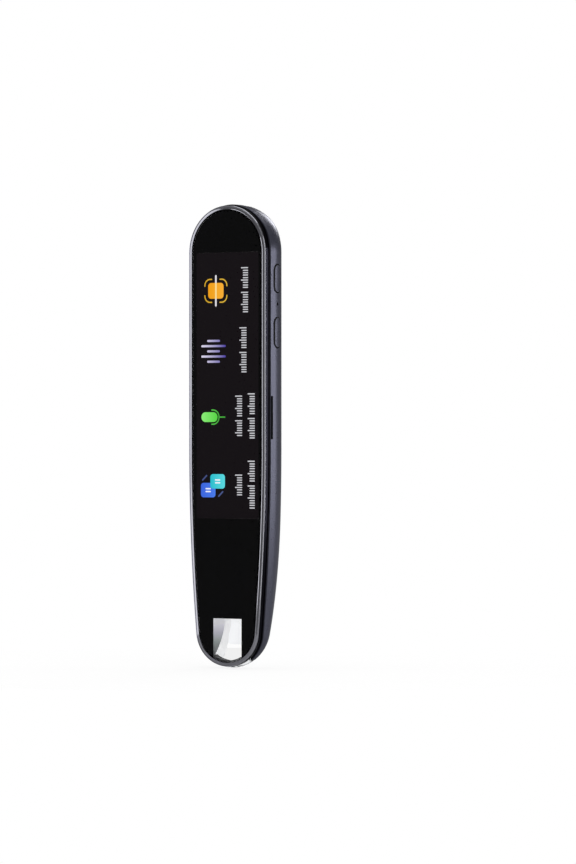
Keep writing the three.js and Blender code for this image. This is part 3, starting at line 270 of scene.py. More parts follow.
def pen_solid(inset, edges, half_steps=48, rows=200, shape=None):
    """The pen's closed form. Edges are (inset, depth) pairs of the front edge; shape may move a back point."""
    last = len(edges) - 1
    steps = half_steps + last
    start = edges[-1][1]

    def place(column, row):
        column %= 2 * steps + 1
        index = min(column, 2 * steps - column)
        side = 1 if column <= steps else -1
        if index < last:
            edge_inset, depth = edges[index]
            x, z = outline_point(row, rows, edge_inset)
            return at(side * x, depth, z)
        width, z = outline_point(row, rows, inset)
        x, depth = section_point((index - last) / half_steps, width, z, inset, start)
        if shape:
            depth = shape(x, depth, z)
        return at(side * x, depth, z)

    return woven_grid(2 * steps + 1, rows, place)


def outline_sweep(profile, closed):
    """A profile of (inset, depth) points swept round the outline: a ring where closed, a plate where not."""
    count = len(profile)

    def place(column, row):
        inset, depth = profile[column % count]
        row %= 2 * OUTLINE_ROWS
        index = min(row, 2 * OUTLINE_ROWS - row)
        x, z = outline_point(index, OUTLINE_ROWS, inset)
        return at(x if row <= OUTLINE_ROWS else -x, depth, z)

    bm = woven_grid(count if closed else count - 1, 2 * OUTLINE_ROWS, place)
    if not closed:
        rims = [edge for edge in bm.edges if edge.is_boundary]
        bmesh.ops.holes_fill(bm, edges=rims, sides=0)
        bmesh.ops.recalc_face_normals(bm, faces=bm.faces)
    return bm


def thickened(bm, offset):
    """An open sheet made solid by drawing it out along the offset."""
    made = bmesh.ops.extrude_face_region(bm, geom=bm.faces[:])
    moved = [item for item in made["geom"] if isinstance(item, bmesh.types.BMVert)]
    bmesh.ops.translate(bm, verts=moved, vec=offset)
    bmesh.ops.recalc_face_normals(bm, faces=bm.faces)
    return bm


def slab(width, height, radius, thickness, segments=10):
    """A flat plate with round corners, centred on the origin in X and Z, from Y = 0 back to its thickness."""
    bm = bmesh.new()
    bmesh.ops.create_grid(bm, x_segments=1, y_segments=1, size=0.5)
    bmesh.ops.scale(bm, vec=(width, height, 1), verts=bm.verts)
    if radius:
        bmesh.ops.bevel(
            bm, geom=bm.verts[:], offset=radius * 0.9999, affect="VERTICES",
            segments=segments, profile=0.5, material=-1,
        )
        bmesh.ops.remove_doubles(bm, verts=bm.verts, dist=WELD / 2)
    bmesh.ops.rotate(bm, verts=bm.verts, matrix=FACING_UP)
    return thickened(bm, (0, thickness, 0))


def placed(bm, offset, turn=None):
    """The mesh turned, then moved."""
    if turn:
        bmesh.ops.rotate(bm, verts=bm.verts, matrix=turn)
    bmesh.ops.translate(bm, verts=bm.verts, vec=offset)
    return bm


def block(width, height, radius, depth0, depth1, z, segments=10):
    """A plate seen from the front, its thickness from depth0 to depth1 and its middle at z."""
    return placed(slab(width, height, radius, depth1 - depth0, segments), at(0, depth0, z))


def side_slab(width, height, radius, x0, x1, depth, z, segments=10):
    """A plate seen from the side, its thickness from x0 to x1."""
    return placed(slab(width, height, radius, x1 - x0, segments), at(x1, depth, z), FACING_SIDE)


def up_slab(width, height, radius, z0, z1, depth, segments=8):
    """A plate seen from above, its thickness from z0 to z1."""
    return placed(slab(width, height, radius, z1 - z0, segments), at(0, depth, z0), FACING_UP)


def rod(radius, low, high, segments=32):
    """A round rod between two points."""
    bm = bmesh.new()
    axis = high - low
    bmesh.ops.create_cone(bm, cap_ends=True, segments=segments, radius1=radius, radius2=radius, depth=axis.length)
    return placed(bm, (low + high) / 2, Vector((0, 0, 1)).rotation_difference(axis).to_matrix())


def bore(radius, x, z, depth0, depth1, segments=32):
    """A round rod along the depth."""
    return rod(radius, at(x, depth0, z), at(x, depth1, z), segments)


def layer(inset, depth0, depth1):
    """A plate with the pen's outline, drawn in by inset, its thickness from depth0 to depth1."""
    return outline_sweep([(inset, depth0), (inset, depth1)], False)


def merged(*parts):
    """Several meshes in one, left as they are."""
    whole = bmesh.new()
    for bm in parts:
        mesh = mesh_of("part", bm)
        whole.from_mesh(mesh)
        bpy.data.meshes.remove(mesh)
    return whole


def carve(bm, *others, operation="DIFFERENCE"):
    """The solid after each of the others is cut away, joined or kept in common."""
    scratch = [linked("carve", mesh_of("carve", part)) for part in (bm, *others)]
    target = scratch[0]
    for other in scratch[1:]:
        modifier = target.modifiers.new("carve", "BOOLEAN")
        modifier.solver = "MANIFOLD"
        modifier.operation = operation
        modifier.object = other
    bpy.context.view_layer.update()
    made = bmesh.new()
    made.from_object(target, bpy.context.evaluated_depsgraph_get())
    for obj in scratch:
        mesh = obj.data
        bpy.data.objects.remove(obj)
        bpy.data.meshes.remove(mesh)
    if not made.faces:
        raise RuntimeError("a cut left nothing of the piece")
    return made


def common(bm, *others):
    """The part of the solid that lies in all of the others too."""
    return carve(bm, *others, operation="INTERSECT")


def soften(bm, width, chosen=None):
    """Rounds the sharp edges that chosen accepts, or all of them."""
    edges = [
        edge for edge in bm.edges
        if edge.is_manifold and edge.calc_face_angle(0) > SHARP_ANGLE and (chosen is None or chosen(edge))
    ]
    bmesh.ops.bevel(
        bm, geom=edges, offset=width, affect="EDGES", segments=2, profile=0.5, material=-1, clamp_overlap=True,
    )
    return bm


def piece(name, bm, body, material, replaced=()):
    """Turns a finished mesh into a piece of the pen that rides on a body."""
    for face in bm.faces:
        face.smooth = True
    for edge in bm.edges:
        edge.smooth = edge.calc_face_angle(0) < SHARP_ANGLE
    obj = linked(name, mesh_of(name, bm))
    obj.data.materials.append(material)
    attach(obj, body)
    if replaced:
        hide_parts(*replaced)
    return obj


# --- finishes

WHITE = (1, 1, 1, 1)


def srgb(red, green, blue):
    """A colour from its 0 to 255 values, as the shaders want it."""
    def linear(value):
        value /= 255
        return value / 12.92 if value <= 0.04045 else ((value + 0.055) / 1.055) ** 2.4
    return (linear(red), linear(green), linear(blue), 1)


def fill(tree, node, inputs):
    """Sets each input of a node to its value, or links it to the socket that stands in the value's place."""
    for label, value in inputs.items():
        if isinstance(value, bpy.types.NodeSocket):
            tree.links.new(value, node.inputs[label])
        else:
            node.inputs[label].default_value = value


def add_node(tree, kind, inputs=None, **settings):
    """A new shader node with its settings made and its inputs filled."""
    node = tree.nodes.new("ShaderNode" + kind)
    for label, value in settings.items():
        setattr(node, label, value)
    fill(tree, node, inputs or {})
    return node


def mix_number(tree, factor, first, second):
    """A number that runs from first to second."""
    return add_node(tree, "Mix", {"Factor": factor, 2: first, 3: second}).outputs[0]


def mix_colour(tree, factor, first, second):
    """A colour that runs from first to second."""
    return add_node(tree, "Mix", {"Factor": factor, 6: first, 7: second}, data_type="RGBA").outputs[2]


def calculated(tree, operation, *values):
    """The result of a Math node."""
    return add_node(tree, "Math", dict(enumerate(values)), operation=operation).outputs["Value"]


def ranged(tree, value, low, high, to_low=0.0, to_high=1.0, kind="LINEAR"):
    """A number taken from one range into another and kept inside it."""
    inputs = {"Value": value, "From Min": low, "From Max": high, "To Min": to_low, "To Max": to_high}
    return add_node(tree, "MapRange", inputs, interpolation_type=kind).outputs["Result"]


def fine_grain_group():
    """Fine grain over broad handling marks: Mask for colour and roughness, Height for bump."""
    name = "Fine grain"
    if name in bpy.data.node_groups:
        return bpy.data.node_groups[name]
    tree = bpy.data.node_groups.new(name, "ShaderNodeTree")
    tree.interface.new_socket("Vector", in_out="INPUT", socket_type="NodeSocketVector")
    for label, default in (("Scale", 1000.0), ("Marks", 0.4)):
        socket = tree.interface.new_socket(label, in_out="INPUT", socket_type="NodeSocketFloat")
        socket.default_value = default
    for label in ("Mask", "Height"):
        tree.interface.new_socket(label, in_out="OUTPUT", socket_type="NodeSocketFloat")
    start, end = tree.nodes.new("NodeGroupInput").outputs, tree.nodes.new("NodeGroupOutput")
    grain = add_node(tree, "TexNoise", {
        "Vector": start["Vector"], "Scale": start["Scale"], "Detail": 3, "Roughness": 0.6,
    }).outputs["Fac"]
    marks = add_node(tree, "TexNoise", {
        "Vector": start["Vector"], "Scale": 70, "Detail": 4, "Distortion": 0.6,
    }).outputs["Fac"]
    blend = mix_number(tree, start["Marks"], grain, marks)
    fill(tree, end, {"Mask": ranged(tree, blend, 0.3, 0.7), "Height": grain})
    return tree


def material_base(name):
    """A new material with its node tree and its shader."""
    material = bpy.data.materials.new(name)
    material.use_nodes = True
    return material, material.node_tree, material.node_tree.nodes["Principled BSDF"]


def object_vector(tree, stretch=(1, 1, 1)):
    """Object coordinates, stretched so that a pattern can run along the pen."""
    place = add_node(tree, "TexCoord").outputs["Object"]
    return add_node(tree, "Mapping", {"Vector": place, "Scale": stretch}).outputs["Vector"]


def along(tree, axis, low, high):
    """How far a point lies between two places on an axis, from 0 to 1."""
    split = add_node(tree, "SeparateXYZ", {"Vector": object_vector(tree)})
    return ranged(tree, split.outputs[axis], low, high)


def grained(name, colour, second, roughness, metallic=0.0, scale=1200.0, stretch=(1, 1, 1), marks=0.4,
            bump=0.05, relief=0.02 * MM, **sockets):
    """A finish whose colour and roughness vary finely between two values, with a grain to match.

    Roughness is a (lowest, highest) pair; further sockets of the shader are given by name.
    """
    if name in bpy.data.materials:
        return bpy.data.materials[name]
    material, tree, shader = material_base(name)
    grain = add_node(tree, "Group", {
        "Vector": object_vector(tree, stretch), "Scale": scale, "Marks": marks,
    }, node_tree=fine_grain_group()).outputs
    fill(tree, shader, {
        "Base Color": mix_colour(tree, grain["Mask"], colour, second),
        "Roughness": ranged(tree, grain["Mask"], 0.0, 1.0, *roughness),
        "Metallic": metallic,
    })
    if bump:
        raised = add_node(tree, "Bump", {"Strength": bump, "Distance": relief, "Height": grain["Height"]})
        fill(tree, shader, {"Normal": raised.outputs["Normal"]})
    fill(tree, shader, {label.replace("_", " "): value for label, value in sockets.items()})
    return material


def painted_light_ramp(name, stops, low, high, glow):
    """A finish of painted light and shade that also glows faintly, its colour running up the pen through (share,
    colour) stops between two heights.
    """
    material = grained(name, stops[0][1], stops[-1][1], (0.4, 0.55), bump=0.03)
    tree = material.node_tree
    ramp = add_node(tree, "ValToRGB", {"Fac": along(tree, "Z", low, high)})
    elements = ramp.color_ramp.elements
    while len(elements) < len(stops):
        elements.new(1.0)
    for element, (position, tint) in zip(elements, stops):
        element.position, element.color = position, tint
    tint = ramp.outputs["Color"]
    fill(tree, tree.nodes["Principled BSDF"], {
        "Base Color": tint, "Emission Color": tint, "Emission Strength": glow,
    })
    return material


def glowing(name, first, second, low, high, axis="X"):
    """A lit part of the display, its colour running from first at low to second at high along an axis."""
    if name in bpy.data.materials:
        return bpy.data.materials[name]
    material, tree, shader = material_base(name)
    fill(tree, shader, {
        "Emission Color": mix_colour(tree, along(tree, axis, low, high), first, second),
        "Emission Strength": 1.0, "Base Color": (0.001, 0.001, 0.001, 1), "Roughness": 0.5,
        "Specular IOR Level": 0.0,
    })
    return material


def clear(name, tint, roughness, ior, shine=1.0):
    """Clear glass or plastic with faint handling marks in its gloss."""
    second = tuple(0.97 * value for value in tint[:3]) + (1,)
    return grained(
        name, tint, second, roughness, scale=400.0, marks=0.8, bump=0.0,
        Transmission_Weight=1.0, IOR=ior, Specular_Tint=(shine, shine, shine, 1),
    )


# --- settings

def length(label, description, value):
    return FloatProperty(name=label, description=description, default=value, min=0, unit="LENGTH", precision=5)


def level(label, description, value):
    return FloatProperty(name=label, description=description, default=value, min=0, subtype="FACTOR")


def colour(label, description, value):
    return FloatVectorProperty(
        name=label, description=description, default=value, size=4, min=0, max=1, subtype="COLOR",
    )


class PenSizes(bpy.types.PropertyGroup):
    """Sizes of the finer shapes"""
    flare: length("Recess Flare", "Width of the soft ring round the speaker plate", 1.7 * MM)
    button_proud: length("Button Height", "How far a button stands out of the side", 0.2 * MM)
    button_gap: length("Button Gap", "Gap beside a button", 0.55 * MM)
    button_round: length("Button Rounding", "Rounding of a button's edge", 0.3 * MM)
    glass_round: length("Glass Edge", "Width of the ground edge of the cover glass", 0.5 * MM)
    window_width: length("Window Width", "Width of the clear window in the nose", 11 * MM)
    window_top: length("Window Top", "Height of the window's top edge", 15.6 * MM)
    slit_length: length("Slit Length", "Length of a speaker slit", 6.4 * MM)
    slit_width: length("Slit Width", "Width of a speaker slit", 0.98 * MM)


class PenColours(bpy.types.PropertyGroup):
    """Colours of the finishes"""
    shell: colour("Shell", "Satin metal paint of the shell and buttons", srgb(99, 100, 116))
    shell_fleck: colour("Shell Fleck", "Lighter grain in the paint", srgb(109, 110, 127))
    rim: colour("Rim", "Polished rim round the glass", srgb(206, 206, 216))
    plate: colour("Plate", "Brushed speaker plate", srgb(128, 129, 148))
    ink: colour("Ink", "Black paint behind the glass", srgb(3, 3, 4))
    screen: colour("Screen", "Display where nothing is lit", srgb(14, 9, 13))
    hood: colour("Hood", "Clear plastic of the nose", (0.95, 0.96, 0.98, 1))


class StudioSettings(bpy.types.PropertyGroup):
    """Light and view of the plain studio"""
    lens: FloatProperty(name="Lens", description="Focal length of the camera", default=200, min=1, unit="CAMERA")
    view_height: length("View Height", "Height that the camera sees at the pen", 274.9 * MM)
    azimuth: FloatProperty(
        name="Azimuth", description="Side from which the camera looks, 0 is straight in front",
        default=math.radians(35), subtype="ANGLE",
    )
    floor_radius: length("Floor Radius", "Radius of the white floor", 140 * MM)
    floor_shine: level("Floor Shine", "Level of the floor and of what lies below in reflections", 0.3)
    room_soft: level("Soft Light", "Level of the room on matt surfaces", 0.58)
    room_shine: level("Shine Light", "Level of the room in reflections", 0.1)
    front_shine: level("Front Light", "Level of the part of the room that the flat front mirrors", 0.16)


# --- shell, frame and glass

SHELL_EDGES = [
    (EDGE_INSET * (1 - math.sin(turn)), PARTING_DEPTH + EDGE_DEPTH * (1 - math.cos(turn)))
    for turn in quarter_turns(5)
]
GLASS_INSET = 1.75 * MM
GLASS_THICKNESS = 0.8 * MM
GLASS_ROUND_DEPTH = 0.45 * MM
GLASS_CHAMFER = 0.04 * MM
DISPLAY_Z = 89.55 * MM
DISPLAY_CORNER = 0.5 * MM
SEAT_DEPTH = 11.9 * MM
BOSS_RADIUS = 1.9 * MM
BOSS_FRONT = 2.35 * MM
PILOT_RADIUS = 0.85 * MM
PILOT_ENDS = (1 * MM, 7.7 * MM)
SCREW_HEAD_RADIUS = 1.45 * MM
SCREW_LEVELS = (41 * MM, 137.2 * MM)
SCREW_PLACES = [(x, z) for x in (-9.3 * MM, 9.3 * MM) for z in SCREW_LEVELS]
SCREW_HOLES = ((PILOT_RADIUS, 3 * MM), (SCREW_HEAD_RADIUS, 1.85 * MM))
BAR_HEIGHT = 6 * MM
BAR_INSET = 1.6 * MM
BAR_ENDS = (1 * MM, 2.2 * MM)
SOUND_WIDTH = 11 * MM
SOUND_HEIGHT = 18 * MM
SOUND_Z = 123 * MM
SOUND_ENDS = (11 * MM, 14 * MM)
PAINT_INSET = 1.8 * MM
PAINT_THICKNESS = 0.04 * MM
PAINT_ENDS = (0.4 * MM, 1.4 * MM)
OPENING_WIDTH = 24.2 * MM
OPENING_HEIGHT = 84.3 * MM
OPENING_GAP = 0.05 * MM
GROUND_ENDS = (PAINT_DEPTH + 0.005 * MM, PAINT_DEPTH + 0.035 * MM)
WALL_FRONT = 0.5 * MM
WALL_BACK = 1.95 * MM
INSIDE_X = SIDE_X - 4 * MM
OUTSIDE_X = SIDE_X + OVERRUN

# Profiles of the front frame as (inset, depth) in millimetres
CROWN = [
    (1.6, 1.0), (1.6, 0.13), (1.585, 0.105), (1.56, 0.105), (1.42, 0.245), (1.38, 0.26), (0.63, 0.345),
    (0.61, 0.2), (0.595, 0.165), (0.565, 0.155), (0.525, 0.165), (0.485, 0.2), (0.445, 0.265), (0.42, 0.365),
    (0.405, 0.5),
]
SKIRT = [(0.4, 0.6), (0.4, 1.86), (0.44, 1.9), (1.45, 1.9), (1.45, 3.6), (2.35, 3.6), (2.35, 1.0)]


def soft_least(first, second, blend):
    """The smaller of two numbers, with a rounded corner where they cross."""
    near = max(blend - abs(first - second), 0) / blend
    return min(first, second) - near * near * blend / 4


def plate_recess(flare):
    """A function that sinks the shell's back round the speaker plate."""
    floor = PLATE_DEPTH - 0.05 * MM
    blend = 0.25 * MM

    def shape(x, depth, z):
        outside = stadium_distance(x, z - PLATE_Z, PLATE_WIDTH, PLATE_LENGTH)
        if outside > flare + FIT or depth < floor - blend:
            return depth
        target = floor + (THICKNESS + blend - floor) * smooth_step((outside - FIT) / flare)
        return soft_least(depth, target, blend)

    return shape


def plate_block(margin, depth0, depth1, segments=10):
    """A block with the speaker plate's outline, wider by a margin."""
    return block(PLATE_WIDTH + 2 * margin, PLATE_LENGTH + 2 * margin, PLATE_WIDTH / 2 + margin, depth0, depth1,
                 PLATE_Z, segments)


def hood_zone(margin, depth0, depth1, top):
    """The rounded block that the hood or its opening takes out of the nose."""
    below = 5 * MM
    height = top + margin + below
    return block(HOOD_WIDTH + 2 * margin, height, HOOD_CORNER + margin, depth0, depth1, height / 2 - below)


def card_slot():
    """The block that cuts the card slot out of the side."""
    return side_slab(CARD_SLOT_WIDTH, CARD_SLOT_LENGTH, CARD_SLOT_CORNER, INSIDE_X, OUTSIDE_X,
                     CARD_SLOT_DEPTH, CARD_SLOT_Z)


def shell_finish(colours):
    """Satin metal paint that is darkened by painted shade where a mesh's attribute says."""
    name = "Satin metal paint"
    if name in bpy.data.materials:
        return bpy.data.materials[name]
    material = grained(
        name, tuple(colours.shell), tuple(colours.shell_fleck), (0.26, 0.33), metallic=0.85,
        scale=1800.0, marks=0.3, bump=0.0,
    )
    tree = material.node_tree
    shader = tree.nodes["Principled BSDF"]
    paint = shader.inputs["Base Color"].links[0].from_socket
    painted_shade = add_node(tree, "Attribute", attribute_name="painted_shade").outputs["Fac"]
    # painted shade: the paint runs to near-black where the attribute is 1
    fill(tree, shader, {"Base Color": mix_colour(tree, painted_shade, paint, srgb(18, 18, 26))})
    return material


# Real black plastic of the tongue and inner parts, also used as painted shade on hole walls, button walls and the
# rim's skirt
def black_plastic_and_shade():
    return grained("Black plastic", srgb(14, 14, 16), srgb(24, 24, 27), (0.45, 0.65), scale=2200.0, bump=0.2)


def coat(obj, material, chosen):
    """Gives a further material to the faces that chosen accepts by their middle (x, depth, z) and normal."""
    obj.data.materials.append(material)
    for face in obj.data.polygons:
        if chosen(face.center.x, face.center.y - FRONT_Y, face.center.z, face.normal):
            face.material_index = len(obj.data.materials) - 1


def paint_hole_shade(shell, gap):
    """Paints shade on the walls of the side's holes: they take the black material so the holes look dark."""
    edge = gap + 0.02 * MM
    holes = [(BUTTON_DEPTH, BUTTON_WIDTH / 2 + edge, z, size / 2 + edge) for z, size, _ in BUTTONS.values()]
    holes.append((BUTTON_DEPTH, 1.1 * MIC_RADIUS, MIC_Z, 1.1 * MIC_RADIUS))
    holes.append((CARD_SLOT_DEPTH, 0.55 * CARD_SLOT_WIDTH, CARD_SLOT_Z, 0.51 * CARD_SLOT_LENGTH))

    def in_shaded_hole(x, depth, z, normal):
        return 0 < x < side_x(depth, z, 0) - 0.03 * MM and any(
            abs(depth - middle) < across and abs(z - place) < reach for middle, across, place, reach in holes
        )

    # painted shade: black on the hole walls of the painted shell
    coat(shell, black_plastic_and_shade(), in_shaded_hole)


def paint_shade_attribute(shell):
    """Writes the attribute of painted shade: 1 in the ring round the plate, as painted shade in the recess, and at
    the parting edge, as painted shade of the gap.
    """
    painted_shade = shell.attributes.new("painted_shade", "FLOAT", "POINT")
    for vert, value in zip(shell.vertices, painted_shade.data):
        depth = vert.co.y - FRONT_Y
        outside = stadium_distance(vert.co.x, vert.co.z - PLATE_Z, PLATE_WIDTH, PLATE_LENGTH)
        # painted shade: a dark ring in the recess round the plate and a dark band along the parting edge
        ring = smooth_step((depth - 12 * MM) / MM) * (1 - smooth_step((outside - 0.6 * MM) / (1.3 * MM)))
        parting = 1 - smooth_step((depth - PARTING_DEPTH - 0.05 * MM) / EDGE_DEPTH)
        value.value = max(ring, parting)


class SCANPEN_OT_shell(bpy.types.Operator):
    """Moulds the back shell with its plate recess, holes and nose opening"""
    bl_idname = "scanpen.shell"
    bl_label = "Back Shell"

    def execute(self, context):
        sizes, colours = context.scene.pen_sizes, context.scene.pen_colours
        gap = sizes.button_gap
        outer = pen_solid(0, SHELL_EDGES, 60, 496, plate_recess(sizes.flare))
        cavity = pen_solid(SHELL_WALL, [(SHELL_WALL, CAVITY_DEPTH)], 24, 110)
        seat = plate_block(FIT + SHELL_WALL, SEAT_DEPTH, THICKNESS + OVERRUN)
        bosses = [bore(BOSS_RADIUS, x, z, BOSS_FRONT, THICKNESS + OVERRUN) for x, z in SCREW_PLACES]
        pilots = [bore(PILOT_RADIUS, x, z, *PILOT_ENDS, 16) for x, z in SCREW_PLACES]
        hollow = carve(cavity, seat, *bosses)
        pocket_depth = PLATE_DEPTH - PLATE_THICKNESS - FIT
        pocket = plate_block(FIT, pocket_depth, pocket_depth + 3 * MM, 24)
        speaker = block(SOUND_WIDTH, SOUND_HEIGHT, SOUND_WIDTH / 2, *SOUND_ENDS, SOUND_Z)
        holes = [
            side_slab(BUTTON_WIDTH + 2 * gap, size + gap, BUTTON_WIDTH / 2 + gap, INSIDE_X, OUTSIDE_X,
                      BUTTON_DEPTH, z, 20)
            for z, size, _ in BUTTONS.values()
        ]
        mic = rod(MIC_RADIUS, at(INSIDE_X, BUTTON_DEPTH, MIC_Z), at(OUTSIDE_X, BUTTON_DEPTH, MIC_Z))
        port = up_slab(USB_WIDTH + 2 * USB_GAP, USB_HEIGHT + 2 * USB_GAP, USB_HEIGHT / 2 + USB_GAP,
                       USB_TOP - USB_LENGTH - USB_GAP, LENGTH + OVERRUN, USB_DEPTH)
        nose = hood_zone(SLIDE, CAVITY_DEPTH, THICKNESS + OVERRUN, HOOD_TOP + HOOD_TOP_GAP)
        bm = carve(outer, hollow, pocket, speaker, *holes, card_slot(), mic, port, nose, *pilots)
        shell = piece("shell", bm, "casing", shell_finish(colours), ["back_shell"])
        paint_hole_shade(shell, gap)
        paint_shade_attribute(shell.data)
        return {"FINISHED"}


class SCANPEN_OT_frame(bpy.types.Operator):
    """Turns the polished rim with its skirt and crossbars"""
    bl_idname = "scanpen.frame"
    bl_label = "Front Frame"

    def execute(self, context):
        tint = tuple(context.scene.pen_colours.rim)
        ring = outline_sweep([(inset * MM, depth * MM) for inset, depth in CROWN + SKIRT], True)
        bars = [block(WIDTH, BAR_HEIGHT, 0, *BAR_ENDS, z) for z in SCREW_LEVELS]
        bars = common(merged(*bars), layer(BAR_INSET, *BAR_ENDS))
        holes = [bore(radius, x, z, WALL_FRONT, end) for x, z in SCREW_PLACES for radius, end in SCREW_HOLES]
        bm = carve(carve(ring, bars, operation="UNION"), *holes, card_slot())
        rim = grained("Polished rim", tint, tuple(0.9 * value for value in tint[:3]) + (1,), (0.06, 0.12),
                      metallic=1.0, scale=900.0, marks=0.8, bump=0.0)
        # painted reflection: the rim's outer wall is painted dark navy in place of the dark reflection it shows
        painted_dark_reflection = grained("Dark navy plating", srgb(10, 10, 22), srgb(16, 16, 30), (0.12, 0.2), metallic=1.0,
                       scale=900.0, marks=0.8, bump=0.0)
        whole = piece("front_rim", bm, "casing", rim, ["front_frame"])
        coat(whole, painted_dark_reflection, lambda x, depth, z, normal: depth > WALL_FRONT)
        # painted shade: the skirt and the flange's underside take the black material so the gap under the rim
        # looks dark
        coat(whole, black_plastic_and_shade(), lambda x, depth, z, normal: depth > WALL_FRONT and (
            depth >= WALL_BACK or abs(normal.y) >= 0.9))
        return {"FINISHED"}


class SCANPEN_OT_glass(bpy.types.Operator):
    """Grinds the clear cover glass and paints its back black round the display and the nose window"""
    bl_idname = "scanpen.glass"
    bl_label = "Cover Glass"

    def execute(self, context):
        sizes, colours = context.scene.pen_sizes, context.scene.pen_colours
        edge = [
            (GLASS_INSET + sizes.glass_round * (1 - math.sin(turn)), GLASS_ROUND_DEPTH * (1 - math.cos(turn)))
            for turn in quarter_turns(6)
        ]
        edge += [(GLASS_INSET, GLASS_THICKNESS - GLASS_CHAMFER), (GLASS_INSET + GLASS_CHAMFER, GLASS_THICKNESS)]
        bm = outline_sweep(edge, False)
        rims = [face for face in bm.faces if len(face.verts) > 8]
        bmesh.ops.inset_individual(bm, faces=rims, thickness=0.3 * MM)
        glass = clear("Cover glass", WHITE, (0.0, 0.004), 1.5, 0.3)
        piece("glass_pane", bm, "casing", glass, ["cover_glass"])
        paint = layer(PAINT_INSET, PAINT_DEPTH, PAINT_DEPTH + PAINT_THICKNESS)
        window = common(block(sizes.window_width, sizes.window_top, 0, *PAINT_ENDS, sizes.window_top / 2),
                        layer(PAINT_INSET + 0.1 * MM, 0.2 * MM, 1.6 * MM))
        opening = block(OPENING_WIDTH, OPENING_HEIGHT, DISPLAY_CORNER, *PAINT_ENDS, DISPLAY_Z)
        ink = grained("Black ink", tuple(colours.ink), srgb(5, 5, 7), (0.35, 0.5), scale=3000.0, bump=0.0,
                      Specular_IOR_Level=0.0)
        piece("glass_paint", carve(paint, window, opening), "casing", ink)
        ground = block(OPENING_WIDTH - OPENING_GAP, OPENING_HEIGHT - OPENING_GAP, DISPLAY_CORNER, *GROUND_ENDS,
                       DISPLAY_Z)
        lit = glowing("Display ground", tuple(colours.screen), srgb(16, 11, 15), 0.04, 0.13, "Z")
        piece("display_ground", ground, "casing", lit)
        return {"FINISHED"}


# --- hood

LIP_WALL = 0.8 * MM
LIP_ENDS = (2.6 * MM, 5 * MM)
STEM_WIDTH = 5 * MM
STEM_THICKNESS = 1.2 * MM
SHIELD_TOP = 15.5 * MM
SHIELD_FRONT = 1.1 * MM
SHIELD_ROWS = 40
SHIELD_COVER = (5.62 * MM, 0.2 * MM)
SHIELD_PLATE = (5.86 * MM, 0.28 * MM)
SHIELD_BACK_INSET = 0.35 * MM
SWEEP_FRONT = 1.15 * MM
SWEEP_DEPTH = 6.25 * MM
SWEEP_START = 3 * MM
SWEEP_HEIGHT = 12.5 * MM


class SCANPEN_OT_hood(bpy.types.Operator):
    """Moulds the clear nose hood with its walls, bar and stem"""
    bl_idname = "scanpen.hood"
    bl_label = "Scan Hood"

    def execute(self, context):
        inner_width = HOOD_WIDTH - 2 * HOOD_WALL
        roof = HOOD_TOP - HOOD_WALL
        walls = common(hood_zone(0, HOOD_FRONT_DEPTH, THICKNESS + OVERRUN, HOOD_TOP),
                       pen_solid(0, SHELL_EDGES, 60, 300))
        hollow = common(
            block(inner_width, roof + OVERRUN, 0.5 * MM, PARTING_DEPTH, THICKNESS + OVERRUN, (roof - OVERRUN) / 2),
            pen_solid(HOOD_WALL, [(HOOD_WALL, CAVITY_DEPTH)], 24, 160),
        )
        mouth = block(inner_width, HOOD_BACK_Z + OVERRUN, 0, PARTING_DEPTH, THICKNESS, (HOOD_BACK_Z - OVERRUN) / 2)
        view = block(inner_width, HOOD_TOP + OVERRUN - HOOD_BACK_Z, 0.3 * MM, PARTING_DEPTH, VIEW_DEPTH,
                     (HOOD_TOP + OVERRUN + HOOD_BACK_Z) / 2)
        walls = carve(walls, hollow, mouth, view)
        bar = carve(layer(0, *LIP_ENDS), layer(LIP_WALL, LIP_ENDS[0] - OVERRUN, LIP_ENDS[1] + OVERRUN))
        bar = common(bar, hood_zone(0, PARTING_DEPTH, THICKNESS, HOOD_TOP), pen_solid(0, SHELL_EDGES, 60, 300))
        stem = block(STEM_WIDTH, STEM_TOP - roof, 0.4 * MM, STEM_DEPTH, STEM_DEPTH + STEM_THICKNESS,
                     (STEM_TOP + roof) / 2)
        bm = carve(walls, bar, stem, operation="UNION")
        plastic = clear("Clear plastic", tuple(context.scene.pen_colours.hood), (0.02, 0.06), 1.46)
        piece("hood", bm, "hood", plastic, ["scan_hood"])
        return {"FINISHED"}


def shield_plates(inside, thickness, back):
    """An upright plate on each side of the nose window; back gives the depth of its back edge at a height."""
    def plate(side):
        def place(column, row):
            z = HOOD_BACK_Z + (SHIELD_TOP - HOOD_BACK_Z) * row / SHIELD_ROWS
            return at(side * inside, SHIELD_FRONT if column == 0 else back(z), z)

        return thickened(woven_grid(1, SHIELD_ROWS, place), (side * thickness, 0, 0))

    return merged(plate(-1), plate(1))


def swept_depth(z):
    """Depth of the grey shield's curved back edge at a height."""
    share = max(0, (z - SWEEP_START) / SWEEP_HEIGHT)
    return SWEEP_FRONT + SWEEP_DEPTH * math.sin(math.pi / 2 * share) ** 0.95


